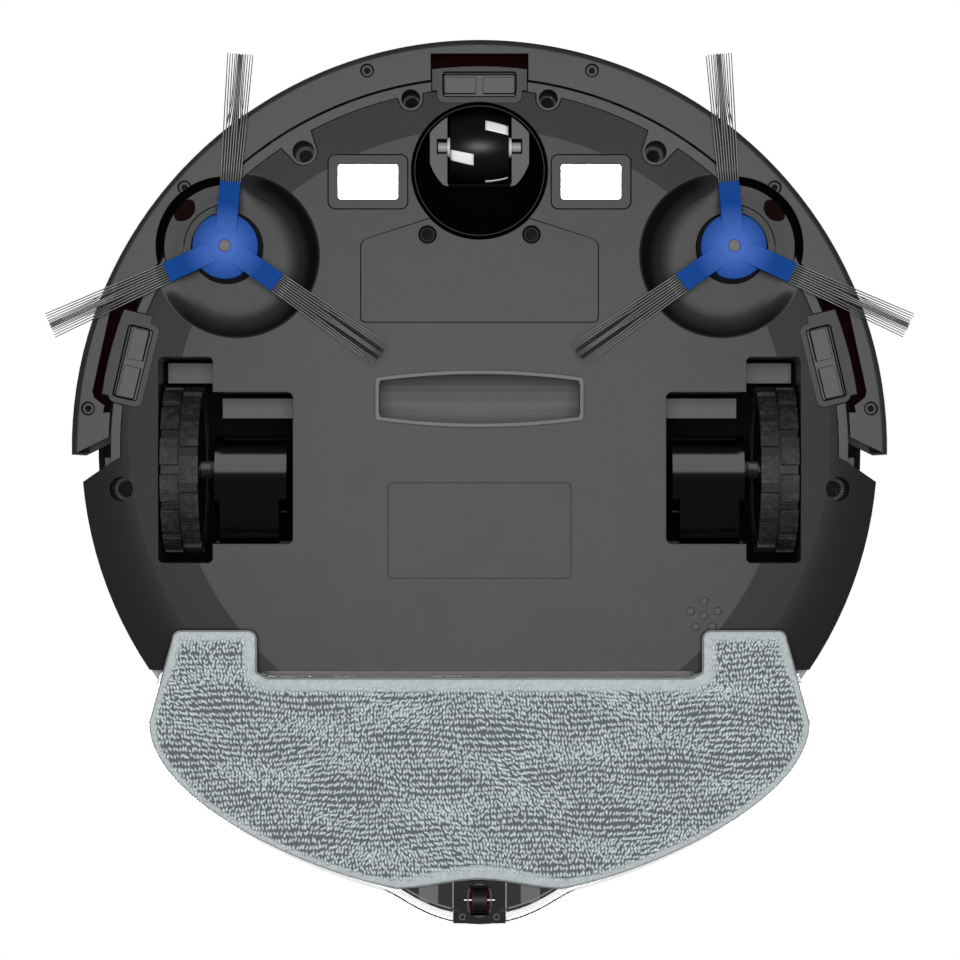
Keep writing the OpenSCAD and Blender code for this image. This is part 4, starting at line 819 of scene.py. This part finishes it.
def loops_mesh(points):
    """One smooth mesh of all loops, from their points."""
    per_loop = LOOP_RINGS * LOOP_SIDES
    one = np.array(strip_faces(LOOP_RINGS, LOOP_SIDES))
    starts = np.arange(len(points) // per_loop) * per_loop
    faces = (one[None] + starts[:, None, None]).reshape(-1, 4)
    mesh = bpy.data.meshes.new("mop_cloth_pile")
    mesh.vertices.add(len(points))
    mesh.vertices.foreach_set("co", points.ravel())
    mesh.loops.add(faces.size)
    mesh.loops.foreach_set("vertex_index", faces[:, ::-1].ravel())
    mesh.polygons.add(len(faces))
    mesh.polygons.foreach_set("loop_start", np.arange(0, faces.size, 4))
    mesh.polygons.foreach_set("use_smooth", [True] * len(faces))
    mesh.update(calc_edges=True)
    mesh.validate()
    return mesh


def make_pile():
    """Thousands of short yarn loops in wavy rows, each one a small rounded grain."""
    feet, turns, sizes = sow_loops()
    inner = outline + inward * 1.1
    keep = np.concatenate([inside(part, inner) for part in np.array_split(feet, BATCHES)])
    feet, turns, sizes = feet[keep], turns[keep], sizes[keep]
    reach_in = depth_in(feet)
    keep = reach_in > 0.85
    feet, turns, sizes, reach_in = feet[keep], turns[keep], sizes[keep], reach_in[keep]
    free = np.clip((reach_in - 0.4) / 1.3 + rng.normal(0, 0.18, len(feet)), 0, 1)
    patchy = 0.5 + 0.5 * np.sin(feet[:, 0] / 19 + 1.3 * np.sin(feet[:, 1] / 15))
    full = pile_foot - pile_tip
    height = np.minimum(full * sizes * (0.78 + 0.2 * patchy) * (0.42 + 0.58 * free), full)
    points, rise = loop_points(feet, turns, sizes, height)
    mesh = loops_mesh(points)
    # painted light and shade: each loop is painted brighter towards its top and dark at its foot;
    # loops near the border get a flatter middle tone
    crown = (rise / height[:, None]) ** 2.2 * (0.86 + 0.24 * rng.random((len(feet), 1)))
    crown = crown * (0.30 + 0.70 * free[:, None]) + 0.46 * (1 - free[:, None])
    hold_values(mesh, "crown", np.clip(crown, 0, 1).astype(np.float32).ravel())
    mesh.materials.append(finishes["cloth"])
    piece = into_scene("mop_cloth_pile", mesh)
    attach(piece, "mop")
    return piece


def make_hem():
    """The folded border: rounded at the rim, flattened inside."""
    profile = [(0.0, 3.9), (-0.10, 2.6), (0.06, 1.60), (0.24, 1.28), (0.60, 1.26), (0.90, 1.36),
               (1.25, 1.75)]
    points = []
    wobble = 0.10 * np.sin(np.arange(len(outline)) * 0.9) + rng.normal(0, 0.05, len(outline))
    for p, n, w, bumpy in zip(outline, inward, widths, wobble):
        for share, lift in profile:
            q = p + n * (0.45 + share * w)
            points.append(at(*q, cloth_low.z + lift + bumpy * (0.1 < share < 1)))
    faces = strip_faces(len(outline), len(profile), closed_rows=True)
    piece = mesh_piece("mop_cloth_hem", points, faces, hem_finish, "mop")
    # painted shade: the rim and the inner edge of the border are painted darker; the random part is
    # the yarn's own uneven tone
    shade = np.array([0.3 + 0.7 * (0.05 < share < 1.0) for share, _ in profile] * len(outline))
    hold_values(piece.data, "crown", shade * rng.uniform(0.68, 1.0, len(shade)))
    return piece


backing = make_backing()
pile = make_pile()
hem = make_hem()


# ------------------------------------------------------------------ side brushes

STRAND_SIDES, STRAND_RINGS, STRAND_THICK = 5, 9, 0.26
PARTS_AT, PARTS_OVER = 42, 18  # how far from the hub the outer strands part, and over what length
KEPT_TOGETHER = 0.48  # the middle strands' places beyond the body, as a share of their own
PLACE_APART = {1.0: 1.0, 0.75: 0.8, 0.5: 0.6, 0.875: 0.42}  # an outer strand's place once parted


def strand_points(hub, along, across, even, spread, lift):
    """The rings of points of one strand, root to tip, and how far each has moved from its
    even place in the fan to its place past the body's edge."""
    root, tip = 24.6, 75.8 + rng.uniform(-0.35, 0.15)
    sag = rng.uniform(-0.03, 0.03)
    up = np.array([0, 0, 1.0])
    points, moved = [], []
    for step in range(STRAND_RINGS):
        t = step / (STRAND_RINGS - 1)
        r = root + (tip - root) * t
        parted = min(1.0, max(0.0, (r - PARTS_AT) / PARTS_OVER))
        share = even + (spread - even) * parted * parted * (3 - 2 * parted)
        half_fan = 3.8 + 1.2 * t
        flat = half_fan * share + sag * math.sin(math.pi * t)
        height = 8.1 - 6.6 * t + lift
        mid = hub + along * r + across * flat + up * height
        w = STRAND_THICK * (1 - 0.35 * t ** 3)
        for turn in np.radians(np.arange(STRAND_SIDES) * 360 / STRAND_SIDES):
            points.append(at(*(mid + across * (w * math.cos(turn)) + up * (w * math.sin(turn)))))
        moved += [parted] * STRAND_SIDES
    return points, moved


def strand_faces(start):
    """The faces of one strand, whose points begin at start: its side and its two ends."""
    last = start + (STRAND_RINGS - 1) * STRAND_SIDES
    faces = strip_faces(STRAND_RINGS, STRAND_SIDES, closed_columns=True, start=start)
    faces.append(tuple(start + j for j in range(STRAND_SIDES)))
    faces.append(tuple(last + j for j in reversed(range(STRAND_SIDES))))
    return faces


def make_bristles(side):
    """Three fans of nylon strands: a light row over a row painted dark as the shade between
    strands. Past the body's edge the outer strands stand apart, and the rest stay together in the
    middle."""
    hub = np.array([HUB_X if side == "left" else -HUB_X, HUB_Y, 0])
    rows = [(np.linspace(-1, 1, 9), 0.45), (np.linspace(-0.875, 0.875, 8), 0.8)]
    points, faces, row_of, beyond = [], [], [], []
    for arm, over_body in ((-95, False), (145, True), (25, False)):
        a = math.radians(arm if side == "left" else 180 - arm)
        along = np.array([math.cos(a), math.sin(a), 0])
        across = np.array([-math.sin(a), math.cos(a), 0])
        for layer, (row, outer_from) in enumerate(rows):
            lift = 0.1 + layer * 0.45
            for even in row:
                outer = abs(even) > outer_from
                apart = math.copysign(PLACE_APART.get(abs(even), 0), even)
                spread = apart if outer else even * KEPT_TOGETHER
                around = strand_faces(len(points))
                faces += around
                row_of += [layer] * len(around)
                strand, moved = strand_points(hub, along, across, even, spread, lift)
                points += strand
                beyond += [m * (outer and not over_body) for m in moved]
    piece = mesh_piece("bristle_strands_" + side, points, faces, finishes["bristle"],
                       "brush_" + side)
    hold_values(piece.data, "beyond", beyond)
    # the lower row takes the painted-shade finish
    piece.data.materials.append(painted_shade_strand)
    piece.data.polygons.foreach_set("material_index", row_of)
    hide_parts("bristles_" + side)


make_bristles("left")
make_bristles("right")


# ------------------------------------------------------------------ printed and moulded marks

def surface_finder(node):
    """Finds how high a node's underside is above a point on the floor."""
    source = nodes_by_name[node].data
    source.calc_loop_triangles()
    tree = BVHTree.FromPolygons([v.co for v in source.vertices],
                                [tuple(t.vertices) for t in source.loop_triangles])

    def height(x, y):
        hit = tree.ray_cast(at(x, y, -5), Vector((0, 0, 1)))
        return hit[0].z / MM if hit[0] else None
    return height


base_height = surface_finder("base_shell")


def raised_line(name, path, width, proud, finish, body, height):
    """A thin raised line that follows the surface over it, at the floor where there is none."""
    path = np.array(path, float)
    heading = np.gradient(path, axis=0)
    aside = np.stack([-heading[:, 1], heading[:, 0]], 1) / np.hypot(*heading.T)[:, None]
    points = []
    for k, (p, n) in enumerate(zip(path, aside)):
        z = height(*p) or 0
        w = width * (0.35 if k in (0, len(path) - 1) else 1.0)
        for offset, drop in ((-0.5, -0.1), (-0.4, proud), (0.4, proud), (0.5, -0.1)):
            points.append(at(*(p + n * offset * w), z - drop))
    faces = strip_faces(len(path), 4, closed_columns=True)
    faces += [(0, 1, 2, 3), tuple(len(points) - 4 + j for j in (3, 2, 1, 0))]
    mesh_piece(name, points, faces, finish, body, smooth=False)


for side, sign in (("left", 1), ("right", -1)):
    turn = arc((0, 0), 17.4, 178, 100, 28) * [-sign, -1] + [sign * HUB_X, HUB_Y]
    raised_line("turn_mark_" + side, turn, 0.65, 0.12, mark_black, "chassis", base_height)
    barb = np.linspace(turn[-1] + [sign * 1.6, 2.4], turn[-1], 4)
    raised_line("turn_barb_" + side, barb, 0.6, 0.12, mark_black, "chassis", base_height)


def rounded_loop(centre, size, radius, turn):
    """A closed rounded rectangle about a centre, turned by some degrees."""
    a, b = size[0] / 2 - radius, size[1] / 2 - radius
    line = np.vstack([arc((sx * a, sy * b), radius, start, start + 90, 5)
                      for sx, sy, start in ((1, 1, 0), (-1, 1, 90), (-1, -1, 180), (1, -1, 270))])
    line = np.vstack([line, line[:2]])
    c, s = math.cos(math.radians(turn)), math.sin(math.radians(turn))
    return line @ np.array([[c, s], [-s, c]]) + centre


window_height = surface_finder("cliff_windows")


def seam_height(x, y):
    """The height of whichever is lower there, the pad or the window in it, or else 10 mm."""
    found = [h for h in (base_height(x, y), window_height(x, y)) if h is not None]
    return min(found) if found else 10.0


for name, centre, turn in (("front", (0.0, -145.1), 0), ("left", (138.6, -33.9), 76.8),
                           ("right", (-138.6, -33.9), 103.2)):
    raised_line("window_seam_" + name, rounded_loop(centre, (29.0, 8.5), 1.2, turn), 0.8, 0.04,
                mark_black, "chassis", seam_height)


def tail_line(inset):
    """The tank's end, seen from below, set in by some millimetres."""
    f = np.array
    tip_y, shoulder = 189.5, f([38, 175.9])
    half = bezier(f([0, tip_y]), f([20, tip_y]), f([29, 179.5]), shoulder, 14)
    line = np.vstack([half[::-1] * [-1, 1], half[1:]])
    return line - [0, inset]


tank_height, plate_height = surface_finder("water_tank"), surface_finder("mop_plate")
box_height = surface_finder("roller_housing")
proud = 0.05
raised_line("tank_edge", tail_line(0.5), 0.5, proud, mark_black, "mop", tank_height)
for side, first, last in (("left", 16, 25), ("right", 4, 13)):
    rim = tail_line(5.6)[first:last]
    raised_line("apron_rim_" + side, rim, 0.8, proud, rim_grey, "mop", plate_height)
frame_path = rounded_loop((0, 179.4), (9.2, 12.9), 4.2, 0)
raised_line("roller_frame", frame_path, 0.35, proud, rim_grey, "mop", box_height)
for side, x in (("left", 6.8), ("right", -6.8)):
    screw = rounded_loop((x, 185.9), (2.2, 2.2), 1.05, 0)
    raised_line("roller_screw_" + side, screw, 0.4, proud, rim_grey, "mop", box_height)


def make_caster_patches():
    """White patches in the caster's barrel wheel: three on one side of its middle and two,
    half a step on, on the other."""
    low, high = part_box("caster_wheel")
    axis_z = (low.z + high.z) / 2
    axis_y = (low.y + high.y) / 2
    radius, crown, proud = (high.z - low.z) / 2, 0.035, 0.00004
    points, faces = [], []
    for x0, x1, firsts in ((2.3, 11.4, (-31.0, 89.0, 209.0)), (-11.4, -2.3, (22.7, 142.7))):
        for first in firsts:
            base = len(points)
            spans, turns = np.linspace(x0, x1, 7) * MM, np.linspace(-10, 10, 9)
            for turn in turns:
                for x, slant in zip(spans, np.linspace(-3.3, 3.3, 7)):
                    a = math.radians(first + turn + slant)
                    r = radius - crown + math.sqrt(crown ** 2 - x ** 2) + proud
                    points.append((x, axis_y + r * math.sin(a), axis_z - r * math.cos(a)))
            faces += strip_faces(len(turns), len(spans), start=base)
    piece = mesh_piece("caster_patches", points, faces, patch_white,
                       "caster_roller")
    solid = piece.modifiers.new("thickness", "SOLIDIFY")
    solid.thickness = 0.0002
    solid.offset = -1


make_caster_patches()


# ------------------------------------------------------------------ stage, camera and light

def make_floor():
    """A pale floor that only shows from above, so that the underside stays lit and in view."""
    material, tree, paint = new_finish("floor_paint", Roughness=0.7)
    tone = ramp(tree, noise(tree, object_space(tree), 3.0, 4.0), 0.3, 0.7)
    tree.links.new(mix_colour(tree, tone, (0.80, 0.80, 0.80, 1), (0.84, 0.84, 0.84, 1)),
                   paint.inputs["Base Color"])
    rays = tree.nodes.new("ShaderNodeLightPath").outputs
    back = tree.nodes.new("ShaderNodeNewGeometry").outputs["Backfacing"]
    seen = times(tree, rays["Is Camera Ray"], minus(tree, 1.0, back))
    clear = tree.nodes.new("ShaderNodeBsdfTransparent")
    choice = add(tree, "ShaderNodeMixShader", {0: seen, 1: clear.outputs[0], 2: paint.outputs[0]})
    tree.links.new(choice.outputs[0], tree.nodes["Material Output"].inputs["Surface"])
    half = 3.0
    mesh = bpy.data.meshes.new("floor")
    mesh.from_pydata([(-half, -half, 0), (half, -half, 0), (half, half, 0), (-half, half, 0)], [],
                     [(0, 1, 2, 3)])
    mesh.materials.append(material)
    floor = into_scene("floor", mesh)


def make_world():
    """White where the camera, glass and metal look past the object, dim as a light."""
    world = bpy.data.worlds.new("studio")
    bpy.context.scene.world = world
    world.use_nodes = True
    tree = world.node_tree
    rays = tree.nodes.new("ShaderNodeLightPath").outputs
    seen = plus(tree, rays["Is Camera Ray"], rays["Is Transmission Ray"], clamp=True)
    seen = plus(tree, seen, times(tree, rays["Is Glossy Ray"], 0.04), clamp=True)
    background = tree.nodes["Background"]
    background.inputs["Color"].default_value = (1, 1, 1, 1)
    tree.links.new(ramp(tree, seen, 0.0, 1.0, 0.12, 1.0), background.inputs["Strength"])


def area_light(name, where, aim, size, power, diffuse=True):
    """A rectangular lamp that is aimed at a point and never seen itself."""
    data = bpy.data.lights.new(name, "AREA")
    data.shape = "RECTANGLE"
    data.size, data.size_y = size
    data.energy = power
    lamp = into_scene(name, data)
    lamp.location = where
    lamp.rotation_euler = (Vector(aim) - Vector(where)).to_track_quat("-Z", "Y").to_euler()
    lamp.visible_camera = False
    lamp.visible_diffuse = diffuse
    return lamp


def flag(lamp, nodes, state):
    """Lets a lamp light just the given nodes, or all but them, as flags round it would."""
    chosen = bpy.data.collections.new(lamp.name + "_flag")
    for node in nodes:
        chosen.objects.link(nodes_by_name[node])
    lamp.light_linking.receiver_collection = chosen
    for held in chosen.collection_objects:
        held.light_linking.link_state = state


def make_camera():
    """Straight below, looking up, with the bumper at the top of the frame."""
    data = bpy.data.cameras.new("camera")
    data.lens = 137.6
    data.sensor_width = 36
    camera = into_scene("camera", data)
    camera.location = at(0.2, 12.9, -1450)
    camera.rotation_euler = (math.pi, 0, 0)
    bpy.context.scene.camera = camera


make_floor()
make_world()
make_camera()
drives = ["wheel_arm_left", "wheel_arm_right"]
below_key = area_light("below_key", (0.0, -0.05, -1.72), (0, 0, 0), (0.7, 0.7), 30)
front_band = area_light("front_band", (0.0, -1.25, -1.0), (0, 0, 0.02), (2.4, 2.3), 54,
                        diffuse=False)
front_band.data.use_shadow = False
flag(below_key, drives, "EXCLUDE")
flag(front_band, drives, "INCLUDE")
area_light("above_key", (-0.9, -0.9, 1.6), (0, 0, 0), (1.2, 1.2), 26)
area_light("above_fill", (1.2, 0.6, 1.3), (0, 0, 0), (1.4, 1.4), 14)
bpy.context.scene.view_settings.view_transform = "Standard"
